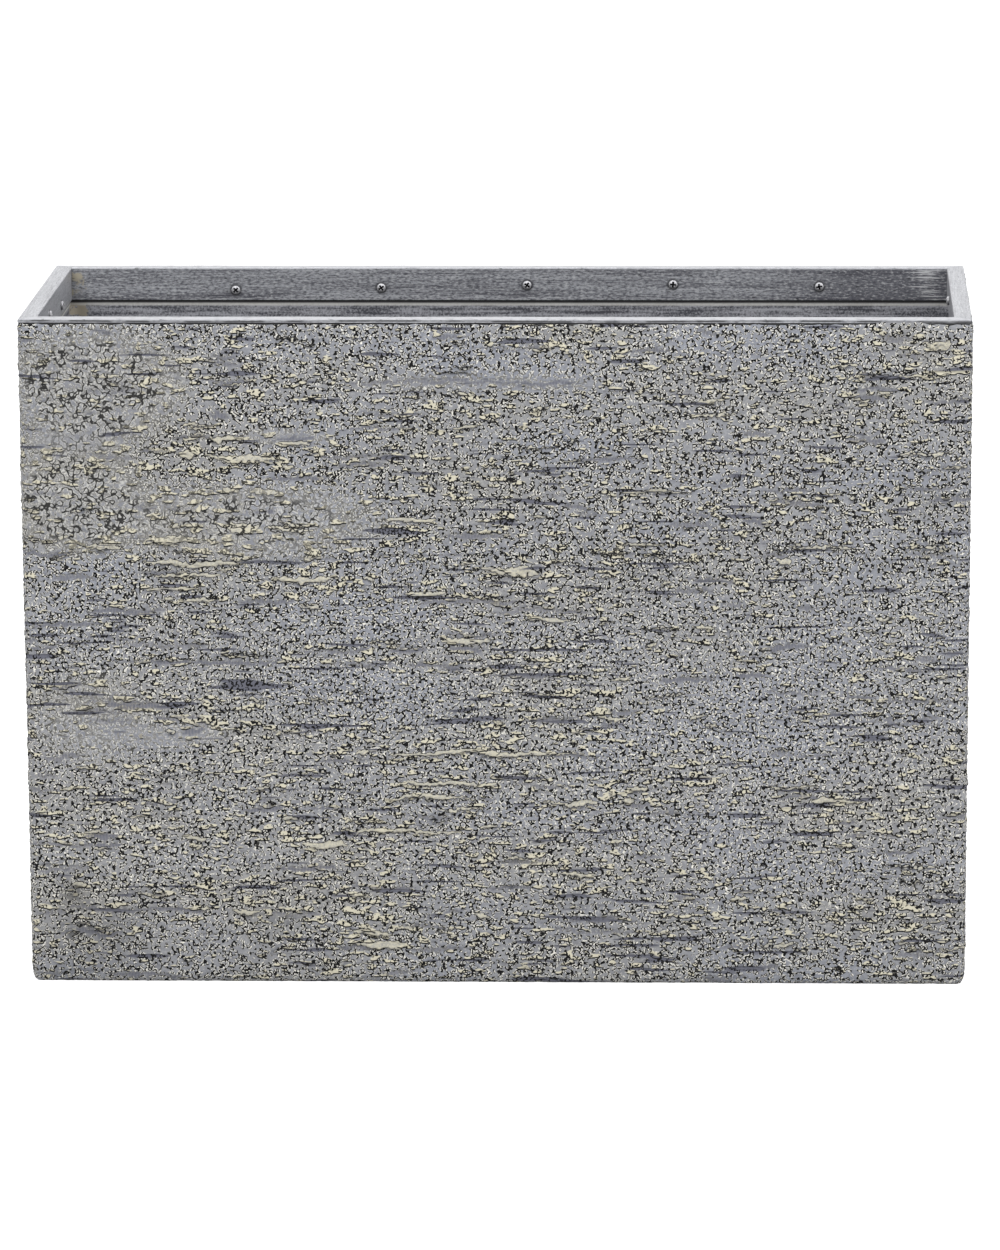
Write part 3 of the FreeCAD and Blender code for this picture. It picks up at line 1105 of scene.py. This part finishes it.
@dataclass(frozen=True)
class BrushPaintedSheet:
    """Folded steel sheet, painted grey by hand with a stiff brush, a little scratched and chipped.

    The brush leaves long streaks along each rail, darker where the coat is thin, with pale
    scratches and, near the corners, smears of clay. The skin of the paint shines at a low angle.
    The tops, and the end rails' legs, are painted lighter as a highlight, and painted shade rings
    each screw and runs along the lip. The back leg is darker towards one end.
    """

    paint: str = "#95979C"
    thin: str = "#43434B"
    # painted highlight on the rails' tops and the end rails' legs
    bright: str = "#A3A4A9"
    scratch: str = "#C4C5C7"
    smear: str = "#A29B8A"
    # near black: dark chips, and painted shade round the screws and along the lip
    grime: str = "#1A1A1D"
    streak_mm: Span = (26.0, 1.1)  # along and across a rail
    band_mm: Span = (156.0, 7.0)
    chip_mm: Span = (5.6, 1.4)
    grain_mm: Span = (3.25, 1.3)
    noise_roughness: float = 0.6
    blot_mm: float = 7.142857
    corner_mm: Span = (18.0, 30.0)
    corner_shift: Span = (0.16, -0.14)
    coat: Ramp = (0.72, 1.12)
    pit: Ramp = (0.34, 0.5, 0.9, 0.0)
    fleck: Ramp = (0.53, 0.7, 0.0, 0.6)
    mottle: Ramp = (0.3, 0.55, 0.35, 1.0)
    scuff_shift: float = 0.16
    scratched: Ramp = (0.64, 0.72, 0.0, 0.8)
    chip: Ramp = (0.63, 0.7, 0.0, 0.85)
    stain: Ramp = (0.62, 0.74)
    roughness: Ramp = (0.3, 0.7, 0.5, 0.32)
    streak_height_mm: float = 0.15
    relief: float = 0.5
    gloss: float = 0.35
    gloss_roughness: float = 0.25

    def material(self) -> Material:
        """Builds the finish.

        Returns:
            A material that reads each rail's own run (along it, across it, from its last end) and
            its own values for worn, thinned, scuffed and grime.
        """
        material, node = new_material("steel sheet, brush painted")
        run = node("Attribute", out="Vector", attribute_name="run")
        names = ("worn", "thinned", "scuffed", "grime")
        value = {name: node("Attribute", out="Fac", attribute_name=name) for name in names}
        brushed = {}
        for name, (along, across), detail in (
            ("streak", self.streak_mm, 4.0),
            ("band", self.band_mm, 3.0),
            ("chip", self.chip_mm, 2.0),
            ("grain", self.grain_mm, 2.0),
        ):
            scale = (1 / (along * MM), 1 / (across * MM), 0.0)
            drawn = node("Mapping", {"Vector": run, "Scale": scale})
            noise = {"Vector": drawn, "Scale": 1.0, "Detail": detail, "Roughness": self.noise_roughness}
            brushed[name] = node("TexNoise", noise)
        place = node("TexCoord", out="Object")
        blots = node("TexNoise", {"Vector": place, "Scale": 1 / (self.blot_mm * MM), "Detail": 4.0})
        coat = node("Math", (brushed["streak"], brushed["band"]), operation="ADD")
        mottle = node("MapRange", (blots, *self.mottle))
        rubbed = (value["scuffed"], self.scuff_shift, brushed["streak"])
        rubbed = node("Math", rubbed, operation="MULTIPLY_ADD")
        ending = node("SeparateXYZ", (run,), out="Z")
        corner = node("MapRange", (ending, *(c * MM for c in self.corner_mm), *self.corner_shift))
        stained = node("Math", (corner, value["worn"]), operation="SUBTRACT")
        stained = node("Math", (blots, stained), operation="ADD")
        body = linear(self.thin)
        for share, colour in (
            (node("MapRange", (coat, *self.coat)), self.paint),
            (node("MapRange", (brushed["grain"], *self.pit)), self.thin),
            # the back leg darker towards one end
            (value["thinned"], self.thin),
            (node("MapRange", (brushed["grain"], *self.fleck)), self.scratch),
            # painted highlight
            (node("Math", (value["worn"], mottle), operation="MULTIPLY"), self.bright),
            (node("MapRange", (rubbed, *self.scratched), **EASED), self.scratch),
            (node("MapRange", (stained, *self.stain), **EASED), self.smear),
            (node("MapRange", (brushed["chip"], *self.chip), **EASED), self.grime),
            # painted shade round the screws and along the lip
            (value["grime"], self.grime),
        ):
            body = node("Mix", {SHARE: share, UNDER: body, OVER: linear(colour)}, **BLEND)
        deep = {"Height": coat, "Distance": self.streak_height_mm * MM, "Strength": self.relief}
        surface = {
            "Base Color": body,
            "Roughness": node("MapRange", (brushed["streak"], *self.roughness)),
            "Normal": node("Bump", deep),
            "Coat Weight": self.gloss,
            "Coat Roughness": self.gloss_roughness,
        }
        node("OutputMaterial", {"Surface": node("BsdfPrincipled", surface)})
        return material


@dataclass(frozen=True)
class ZincPlatedSteel:
    """Zinc-plated screw steel, tumbled dull: bright on the crown, painted dark as shade in the cross and
    round the head's foot.
    """

    bright: str = "#B4B4B7"
    # near black: painted shade in the cross and round the head's foot, with a little mottling from the
    # tumble
    grime: str = "#1E1E20"
    tumble_mm: float = 0.7142857
    dirt_share: float = 0.4
    shaded: Ramp = (0.3, 0.7)
    roughness: Ramp = (0.3, 0.7, 0.5, 0.7)

    def material(self) -> Material:
        """Builds the finish.

        Returns:
            A material that reads how deep each place lies under the crown, and darkens deep places as
            painted shade.
        """
        material, node = new_material("screw steel, zinc plated")
        deep = node("Attribute", out="Fac", attribute_name="deep")
        place = node("TexCoord", out="Object")
        tumble = node("TexNoise", {"Vector": place, "Scale": 1 / (self.tumble_mm * MM), "Detail": 3.0})
        # painted shade by depth, with a little mottling from the tumble
        dirt_and_shade = node("Math", (tumble, self.dirt_share, deep), operation="MULTIPLY_ADD")
        shaded = node("MapRange", (dirt_and_shade, *self.shaded), **EASED)
        steel = {SHARE: shaded, UNDER: linear(self.bright), OVER: linear(self.grime)}
        surface = {
            "Base Color": node("Mix", steel, **BLEND),
            "Roughness": node("MapRange", (tumble, *self.roughness)),
            "Metallic": 1.0,
        }
        node("OutputMaterial", {"Surface": node("BsdfPrincipled", surface)})
        return material


@dataclass
class PanHeadScrews:
    """The rows of screws in the rim's legs: low domed heads with a cross recess, each turned its own way."""

    head_radius: float = 3.3
    head_height: float = 2.3
    edge_height: float = 1.3
    edge_step: float = 0.15
    dome_power: float = 3.2
    shank_radius: float = 1.75
    cross_span: float = 4.6
    cross_width: float = 1.3
    cross_depth: float = 1.3
    cross_rise: float = 0.45  # how much shallower the cross is at the head's edge
    cross_soft: float = 0.2
    # painted shade round the head's foot: how high it reaches and how dark it is
    shade_height: float = 0.55
    shade_share: float = 0.5
    sunk: float = 0.3
    row_gap: float = 13.2  # two screws stand further apart
    cells: int = 36
    seed: int = 11

    def __post_init__(self) -> None:
        """Starts the random numbers."""
        self.dice = np.random.default_rng(self.seed)

    def seats(self, side: Side) -> tuple[Array, float, float]:
        """Finds each screw in the frame, as if its side were the front.

        Args:
            side: The side whose screws are wanted.

        Returns:
            The centres' X and Z, the Y where the heads bear, and the Y of the tips.
        """
        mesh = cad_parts[f"rim_screws_{side.label}"].data
        places = np.empty(len(mesh.vertices) * 3, np.float32)
        mesh.vertices.foreach_get("co", places)
        places = side.turned(places.reshape(-1, 3) / MM, back=True)
        places = places[np.argsort(places[:, 0])]
        breaks = np.flatnonzero(np.diff(places[:, 0]) > self.row_gap) + 1
        groups = np.split(places, breaks)
        centres = np.array([(group.min(axis=0) + group.max(axis=0)) / 2 for group in groups])
        return centres[:, [0, 2]], places[:, 1].max() - self.head_height, places[:, 1].min()

    def screw(self, shank: float) -> tuple[Array, Array, Array, Array]:
        """One screw on the upright axis, with its head's seat at nought.

        The crown is a square grid (u, v) pressed into a disc by x = u sqrt(1 - v^2 / 2) and the
        same for y. Its height is the edge's plus the dome's (1 - r^3.2), less the cross, whose
        arms are products of two smooth steps. Rings of the grid's rim then go down round the shank.

        Args:
            shank: Length under the head.

        Returns:
            Places, corner numbers, corners of each face, and how deep each place lies in the head,
            which the finish paints dark as shade, with a ring round the head's foot counted in.
        """
        line = np.linspace(-1.0, 1.0, self.cells + 1)
        u, v = np.meshgrid(line, line)
        x = self.head_radius * u * np.sqrt(1 - v**2 / 2)
        y = self.head_radius * v * np.sqrt(1 - u**2 / 2)
        r = np.minimum(np.hypot(x, y) / self.head_radius, 1.0)
        soft = self.cross_soft
        arms = [
            smooth((self.cross_width + soft) / 2, (self.cross_width - soft) / 2, np.abs(p))
            * smooth((self.cross_span + soft) / 2, (self.cross_span - soft) / 2, np.abs(q))
            for p, q in ((x, y), (y, x))
        ]
        cross = np.maximum(*arms)
        rise = self.edge_height + (self.head_height - self.edge_height) * (1 - r**self.dome_power)
        crown = np.stack([x, y, rise - self.cross_depth * (1 - self.cross_rise * r) * cross], axis=-1)
        number = np.arange(crown.shape[0] * crown.shape[1]).reshape(u.shape)
        quads = np.stack([number[:-1, :-1], number[:-1, 1:], number[1:, 1:], number[1:, :-1]], axis=-1)
        rim = np.concatenate([number[0, :-1], number[:-1, -1], number[-1, :0:-1], number[:0:-1, 0]])
        direction = crown.reshape(-1, 3)[rim][:, :2] / self.head_radius
        steps = (
            (self.head_radius, self.edge_height - self.edge_step),
            (self.head_radius, -self.sunk),
            (self.shank_radius, -self.sunk),
            (self.shank_radius, -shank),
        )
        rings = [np.column_stack([direction * radius, np.full(len(rim), level)]) for radius, level in steps]
        levels = [rim] + [number.size + k * len(rim) + np.arange(len(rim)) for k in range(len(steps))]
        sides = [
            np.stack([upper, lower, np.roll(lower, -1), np.roll(upper, -1)], axis=-1)
            for upper, lower in zip(levels, levels[1:])
        ]
        points = np.concatenate([crown.reshape(-1, 3), *rings])
        corners = np.concatenate([quads.reshape(-1), *(s.reshape(-1) for s in sides), levels[-1][::-1]])
        counts = np.concatenate([np.full(len(corners[: -len(rim)]) // 4, 4), [len(rim)]])
        # painted shade round the head's foot, where it meets the leg
        ring = smooth(self.shade_height, 0.0, points[:, 2]) * self.shade_share
        deep = np.concatenate([cross.ravel(), np.zeros(len(points) - number.size)])
        return points, corners, counts, np.maximum(deep, ring)

    def build(self, material: Material) -> None:
        """Makes the four rows, one piece to a side.

        Args:
            material: The screws' finish.
        """
        for side in Side:
            centres, seat, tip = self.seats(side)
            points, corners, counts, deep = self.screw(seat - tip)
            angle = self.dice.uniform(0.0, math.pi / 2, len(centres))
            c, s = np.cos(angle)[:, None], np.sin(angle)[:, None]
            x = points[:, 0] * c - points[:, 1] * s + centres[:, :1]
            z = -(points[:, 0] * s + points[:, 1] * c) + centres[:, 1:]
            y = np.broadcast_to(points[:, 2] + seat, x.shape)
            shift = len(points) * np.arange(len(centres))[:, None]
            shape = Shape(
                points=side.turned(np.stack([x, y, z], axis=-1).reshape(-1, 3)),
                corners=(corners[None] + shift).ravel(),
                counts=np.tile(counts, len(centres)),
                values={"deep": np.tile(deep, len(centres))},
            )
            piece = shape.piece(f"screws_{side.label}", material, BODY, "screw_steel")
            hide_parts(f"rim_screws_{side.label}")


@dataclass
class FoldedRim:
    """Four rails of folded sheet: a small outer lip, a flat top and an inner leg, mitred at the corners."""

    screws: PanHeadScrews
    sheet: float = 1.2
    lip: float = 2.8
    step: float = 1.0
    bow: float = 0.18  # how far the hand-folded sheet strays from true
    bow_waves: Span = (60.0, 240.0)
    bow_end: float = 40.0  # from a rail's end to where it strays in full
    fold_ease: float = 0.25  # from the end of a fold to its near neighbour on the flat
    end_highlight: float = 0.5  # painted highlight on the end rails' tops, next to the long ones' 1
    leg_highlight: float = 0.7  # painted highlight on the end rails' legs
    # painted shade in a ring round each screw head: its radius, width and strength
    shade_ring_radius: float = 3.9
    shade_ring_width: float = 0.8
    shade_share: float = 0.85
    lip_shade_fall: float = 1.7  # from the top down to the painted shade line along the lip
    lip_shade_width: float = 0.75
    lip_shade_sway: float = 0.4
    lip_shade_wave: float = 45.0
    lip_shade_gaps: Span = (17.0, 6.1)  # two beats, which break that line where both are low
    lip_shade_break: Span = (-0.6, 0.2)
    lip_shade_least: float = 0.4
    lip_face: Span = (0.5, 0.2)  # steps in, between which that line shows
    leg_fall: Span = (0.6, 1.6)  # sheets below the top, over which the leg starts
    top_fall: Span = (1.0, 0.3)  # sheets below the top, over which the painted highlight grows
    # the painted highlight's share below the top
    edge_highlight: float = 0.5
    top_bow: float = 0.5  # how much of its stray the top shows
    dark_end: Span = (-190.0, -270.0)  # where the back leg gets darker, along its run
    dark_share: float = 0.7
    scuff_place: float = -0.92  # along the back leg, as a share of its half length
    scuff_reach: float = 13.0
    run_shift: float = 3.0  # moves the brush marks on, for each degree of a side's turn
    seed: int = 7

    def __post_init__(self) -> None:
        """Takes the rails' sizes from the frame and starts the random numbers."""
        low, high = box_mm("rim_rail_front")
        self.width = high[1] - low[1]
        self.top, self.foot = high[2], low[2]
        self.dice = np.random.default_rng(self.seed)

    def section(self) -> Array:
        """The folded section as a closed outline: steps in from the outer face, and heights.

        It goes up the lip, over the top, down the leg, and back along the inside of the sheet. The
        outer folds are quarter circles as large as the sheet is thick. Each fold's ends have a
        near neighbour, so that the flats stay flat to the eye.

        Returns:
            Pairs of step in and height.
        """
        t, w, near = self.sheet, self.width, self.fold_ease
        fold_points, lip_points, top_points, leg_points, back_step = 6, 7, 10, 26, 8
        turn = np.linspace(0.0, math.pi / 2, fold_points)
        lip_foot = self.top - self.lip
        lip = np.linspace(lip_foot, self.top - t - near / 2, lip_points)
        flat = np.linspace(t + near, w - t - near, top_points)
        drop = np.linspace(self.top - t - near, self.foot + near, leg_points)
        back = drop[::-back_step]
        outline = (
            (np.zeros_like(lip), lip),
            (t - t * np.cos(turn), self.top - t + t * np.sin(turn)),
            (flat, np.full_like(flat, self.top)),
            (w - t + t * np.sin(turn), self.top - t + t * np.cos(turn)),
            (np.full_like(drop, w), drop),
            ([w, w - t], [self.foot, self.foot]),
            (np.full_like(back, w - t), back),
            ([w - t, t, t], [self.top - t, self.top - t, lip_foot]),
        )
        return np.concatenate([np.column_stack(stretch) for stretch in outline])

    def _stray(self, along: Array) -> Array:
        """A slow wander along a rail: three sines of random length and phase, dying out at the ends."""
        reach = np.abs(along).max()
        total = np.zeros_like(along)
        for wave in self.dice.uniform(*self.bow_waves, 3):
            total += np.sin(2 * math.pi * along / wave + self.dice.uniform(0.0, 2 * math.pi))
        return self.bow / 2 * total * smooth(reach, reach - self.bow_end, np.abs(along))

    def _wear_and_light(self, side: Side, run: Array, step_in: Array, rise: Array, inner: Array) -> dict[str, Array]:
        """Works out the values that a rail's finish reads.

        Painted shade darkens a ring round each screw, and a bell-shaped line along the lip, whose height
        sways as a sine and whose strength drops where two more sines are low together. The tops, and
        the end rails' legs, get a painted highlight.

        Args:
            side: Where the rail lies.
            run: How far along the rail each place lies.
            step_in: How far in from the outer face, for each outline point.
            rise: The height of each place.
            inner: One for the leg's outline points, and nought for the lip's.

        Returns:
            Sheets by name: worn, grime, thinned and scuffed.
        """
        fall = self.top - rise
        half = np.abs(run).max()
        leg = smooth(*self.leg_fall, fall / self.sheet) * inner
        # painted highlight on the tops, and on the end rails' legs
        top_highlight = self.edge_highlight + (1 - self.edge_highlight) * smooth(*self.top_fall, fall / self.sheet)
        if not side.is_long:
            top_highlight *= self.end_highlight
        # painted shade: a dark line along the lip's face, and a ring round each screw
        sway = self.lip_shade_sway * np.sin(run / self.lip_shade_wave)
        lip_shade = bell((fall - self.lip_shade_fall - sway) / self.lip_shade_width) * smooth(*self.lip_face, step_in)
        beats = sum(np.sin(run / gap) for gap in self.lip_shade_gaps)
        lip_shade *= self.lip_shade_least + (1 - self.lip_shade_least) * smooth(*self.lip_shade_break, beats)
        rings = np.zeros(run.shape)
        for x, z in self.screws.seats(side)[0]:
            apart = np.hypot(run - x, rise - z)
            rings = np.maximum(rings, bell((apart - self.shade_ring_radius) / self.shade_ring_width))
        back_leg = leg * (side is Side.BACK)
        return {
            "worn": (1 - leg) * top_highlight + leg * (0.0 if side.is_long else self.leg_highlight),
            "grime": np.maximum(self.shade_share * rings * leg, lip_shade),
            # the back leg darker towards one end
            "thinned": self.dark_share * smooth(*self.dark_end, run) * back_leg,
            "scuffed": bell((run - self.scuff_place * half) / self.scuff_reach) * back_leg,
        }

    def rail(self, side: Side) -> Shape:
        """One rail: the section carried along its side, each outline point on a run of its own length.

        A point that lies a step s in from the outer face runs between plus and minus the side's
        half length less s and the mitre's gap, so that the ends come out as mitres.

        Args:
            side: Where the rail lies.

        Returns:
            The rail, with the values that its finish reads.
        """
        low, high = box_mm(f"rim_rail_{side.label}")
        along, outwards = (0, 1) if side.is_long else (1, 0)
        half = (high - low)[along] / 2
        reach = np.abs([low, high]).max(axis=0)[outwards]
        outline = self.section()
        t = np.linspace(-1.0, 1.0, round(2 * half / self.step) + 1)
        run = t[None] * (half - outline[:, :1])
        top_wander, leg_wander = self._stray(half * t), self._stray(half * t)
        hang = (self.top - outline[:, 1:]) / (self.top - self.foot)
        inner = smooth(self.width - 2 * self.sheet, self.width - self.sheet, outline[:, :1])
        step_in = outline[:, :1] + inner * hang * leg_wander[None]
        rise = np.broadcast_to(outline[:, 1:] + self.top_bow * (1 - hang) * top_wander[None], run.shape)
        points = np.stack([run, step_in - reach, rise], axis=-1)
        across = np.concatenate([[0.0], np.cumsum(np.linalg.norm(np.diff(outline, axis=0), axis=1))])
        shift = side.value * self.run_shift
        across = np.broadcast_to(across[:, None] + shift, run.shape)
        wear_and_light = self._wear_and_light(side, run, outline[:, :1], rise, inner)
        corners, counts, uv = capped_tube(*run.shape)
        return Shape(
            points=side.turned(points.reshape(-1, 3)),
            corners=corners,
            counts=counts,
            values={
                "run": np.stack([run + shift, across, half - run], axis=-1).reshape(-1, 3) * MM,
                **{name: sheet.ravel() for name, sheet in wear_and_light.items()},
            },
            uv=uv,
        )

    def build(self, material: Material) -> None:
        """Makes the four rails.

        Args:
            material: Their finish.
        """
        for side in Side:
            piece = self.rail(side).piece(f"rim_{side.label}", material, BODY, "rim_sheet")
            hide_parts(f"rim_rail_{side.label}")


@dataclass(frozen=True)
class MouldedRubber:
    """Black moulded rubber, dusty from clay: nearly black, soft sheen, pale dust in clouds."""

    rubber: str = "#161617"
    dust: str = "#34322F"
    cloud_mm: float = 5.555556
    skin_mm: float = 0.4166667
    skin_height_mm: float = 0.1
    relief: float = 0.4
    dusty: Ramp = (0.45, 0.75)
    roughness: Ramp = (0.0, 1.0, 0.65, 0.9)  # of the rubber and of the dust
    specular: float = 0.25

    def material(self) -> Material:
        """Builds the finish.

        Returns:
            A material that reads places in the planter's frame.
        """
        material, node = new_material("rubber, moulded and dusty")
        place = node("TexCoord", out="Object")
        clouds, skin = (
            node("TexNoise", {"Vector": place, "Scale": 1 / (size * MM), "Detail": detail})
            for size, detail in ((self.cloud_mm, 6.0), (self.skin_mm, 1.0))
        )
        dusty = node("MapRange", (clouds, *self.dusty), **EASED)
        deep = {"Height": skin, "Distance": self.skin_height_mm * MM, "Strength": self.relief}
        coated = {SHARE: dusty, UNDER: linear(self.rubber), OVER: linear(self.dust)}
        surface = {
            "Base Color": node("Mix", coated, **BLEND),
            "Roughness": node("MapRange", (dusty, *self.roughness)),
            "Normal": node("Bump", deep),
            "Specular IOR Level": self.specular,
        }
        node("OutputMaterial", {"Surface": node("BsdfPrincipled", surface)})
        return material


@dataclass
class DrainStopper:
    """A rubber plug: a flange with a round edge and a shallow dish, over a straight shank."""

    label: str
    flange: float = 3.0
    round_edge: float = 1.3
    dish: float = 0.8
    dish_share: float = 0.62  # of the flange's radius
    dish_start: float = 0.25  # the first ring's share of the dish
    dish_rings: int = 6
    edge_rings: int = 7
    dish_power: float = 0.6
    brim_share: float = 0.75
    ease: float = 0.2
    shank_gap: float = 7.8  # from the flange's edge in to the shank
    chamfer: float = 1.0
    around: int = 96

    def build(self, material: Material) -> None:
        """Makes the plug, turned from a profile, where its solid stands.

        The dish's depth at a share d of its radius is (1 - d^2)^0.6 of its greatest, and the
        flange's edge is a quarter circle.

        Args:
            material: The plug's finish.
        """
        node = f"drain_plug_{self.label}"
        low, high = box_mm(node)
        radius, top, foot = (high[0] - low[0]) / 2, high[2], low[2]
        seat, shank = top - self.flange, radius - self.shank_gap
        turn = np.linspace(0.0, math.pi / 2, self.edge_rings)
        dished = np.linspace(self.dish_start, 1.0, self.dish_rings)
        radii = np.concatenate(
            [
                self.dish_share * radius * dished,
                [self.brim_share * radius, radius - self.round_edge - self.ease],
                radius - self.round_edge * (1 - np.sin(turn)),
                [radius, radius - self.ease, shank, shank, shank - self.chamfer],
            ]
        )
        heights = np.concatenate(
            [
                [top - self.dish],
                top - self.dish * (1 - dished**2) ** self.dish_power,
                [top, top],
                top - self.round_edge * (1 - np.cos(turn)),
                [seat + self.ease, seat, seat, foot + self.chamfer, foot],
                [foot],
            ]
        )
        shape = turned_solid(radii, heights, self.around)
        shape.points += np.array([(low[0] + high[0]) / 2, (low[1] + high[1]) / 2, 0.0])
        piece = shape.piece(f"stopper_{self.label}", material, f"plug_{self.label}", "plug_rubber")
        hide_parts(node)


@dataclass(frozen=True)
class Lamp:
    """A square area lamp, with its place and size in metres."""

    name: str
    place: tuple[float, float, float]
    size: float
    watts: float


@dataclass
class Studio:
    """A white studio: pale floor, white surround, soft lamps and the camera."""

    camera_place: tuple[float, float, float] = (0.2218, -5.50775, 1.27266)
    yaw: float = -2.33
    pitch: float = 10.56
    roll: float = -0.29
    focal_px: float = 7397.0
    image_height_px: float = 1250.0
    sensor_mm: float = 36.0
    clip_end: float = 100.0
    surround_light: float = 0.5
    floor_half: float = 12.0
    floor_shade: float = 0.8
    floor_glow: float = 0.72
    lamp_aim: tuple[float, float, float] = (0.0, 0.0, 0.25)
    lamps: tuple[Lamp, ...] = (
        Lamp("key", (-1.6, -3.2, 3.2), 2.4, 120.0),
        Lamp("fill", (3.0, -1.2, 2.4), 2.4, 70.0),
        Lamp("overhead", (0.0, 0.6, 3.4), 2.2, 60.0),
    )

    def set_camera(self) -> None:
        """Sets the camera: it looks along its heading, down by the pitch, and leans by the roll."""
        yaw, pitch, roll = (math.radians(a) for a in (self.yaw, self.pitch, self.roll))
        level = math.cos(pitch)
        ahead = np.array([math.sin(yaw) * level, math.cos(yaw) * level, -math.sin(pitch)])
        right = np.array([math.cos(yaw), -math.sin(yaw), 0.0])
        leant = right * math.cos(roll) + np.cross(right, ahead) * math.sin(roll)
        lens = bpy.data.cameras.new("camera")
        lens.sensor_width = self.sensor_mm
        lens.lens = self.focal_px * self.sensor_mm / self.image_height_px
        lens.clip_end = self.clip_end
        camera = bpy.data.objects.new("camera", lens)
        camera.matrix_world = aimed(self.camera_place, leant, ahead)
        bpy.context.scene.collection.objects.link(camera)
        bpy.context.scene.camera = camera

    def set_surround(self) -> None:
        """A world that is white to the eye, in reflections and through glass, and dimmer as a light."""
        world = bpy.data.worlds.new("white surround")
        bpy.context.scene.world = world
        node = new_tree(world)
        path = node("LightPath").node.outputs
        seen = path["Is Camera Ray"]
        for other in ("Is Glossy Ray", "Is Transmission Ray"):
            seen = node("Math", (seen, path[other]), operation="MAXIMUM")
        strength = node("MapRange", (seen, 0.0, 1.0, self.surround_light, 1.0))
        node("OutputWorld", {"Surface": node("Background", {"Strength": strength, "Color": WHITE})})

    def lay_floor(self) -> None:
        """A pale floor that is white to the eye and keeps a faint shadow of the planter."""
        reach = self.floor_half
        corners = [(-reach, -reach, 0), (reach, -reach, 0), (reach, reach, 0), (-reach, reach, 0)]
        mesh = bpy.data.meshes.new("floor")
        mesh.from_pydata(corners, [], [(0, 1, 2, 3)])
        material, node = new_material("white studio floor")
        lit = node("BsdfDiffuse", {"Color": (*[self.floor_shade] * 3, 1.0)})
        glow = node("Emission", {"Color": WHITE, "Strength": self.floor_glow})
        white = node("AddShader", (lit, glow))
        viewed = node("LightPath", out="Is Camera Ray")
        node("OutputMaterial", {"Surface": node("MixShader", (viewed, lit, white))})
        mesh.materials.append(material)
        floor = bpy.data.objects.new("floor", mesh)
        bpy.context.scene.collection.objects.link(floor)

    def hang_lamps(self) -> None:
        """A broad key over the camera, a softer fill from the other side, and a lamp overhead."""
        for lamp in self.lamps:
            light = bpy.data.lights.new(lamp.name, "AREA")
            light.size = lamp.size
            light.energy = lamp.watts
            aim = np.array(self.lamp_aim) - np.array(lamp.place)
            ahead = aim / np.linalg.norm(aim)
            right = np.cross(ahead, [0.0, 0.0, 1.0])
            hung = bpy.data.objects.new(lamp.name, light)
            hung.matrix_world = aimed(lamp.place, right / np.linalg.norm(right), ahead)
            bpy.context.scene.collection.objects.link(hung)

    def build(self) -> None:
        """Sets up everything round the planter."""
        bpy.context.scene.view_settings.view_transform = "Standard"
        self.set_camera()
        self.set_surround()
        self.lay_floor()
        self.hang_lamps()


def main() -> None:
    """Builds the planter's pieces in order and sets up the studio."""
    logging.basicConfig(level=logging.INFO, format="%(name)s %(message)s")
    shell_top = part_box("clay_shell")[1].z
    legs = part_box("rim_rail_front")[0].z
    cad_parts["clay_shell"].material_slots[0].material = BrushedClayWash().material(shell_top, legs)
    ClayWalls().build(RoughCastClay().material())
    screws = PanHeadScrews()
    FoldedRim(screws).build(BrushPaintedSheet().material())
    screws.build(ZincPlatedSteel().material())
    rubber = MouldedRubber().material()
    for label in ("left", "right"):
        DrainStopper(label).build(rubber)
    Studio().build()


if __name__ == "__main__":
    main()
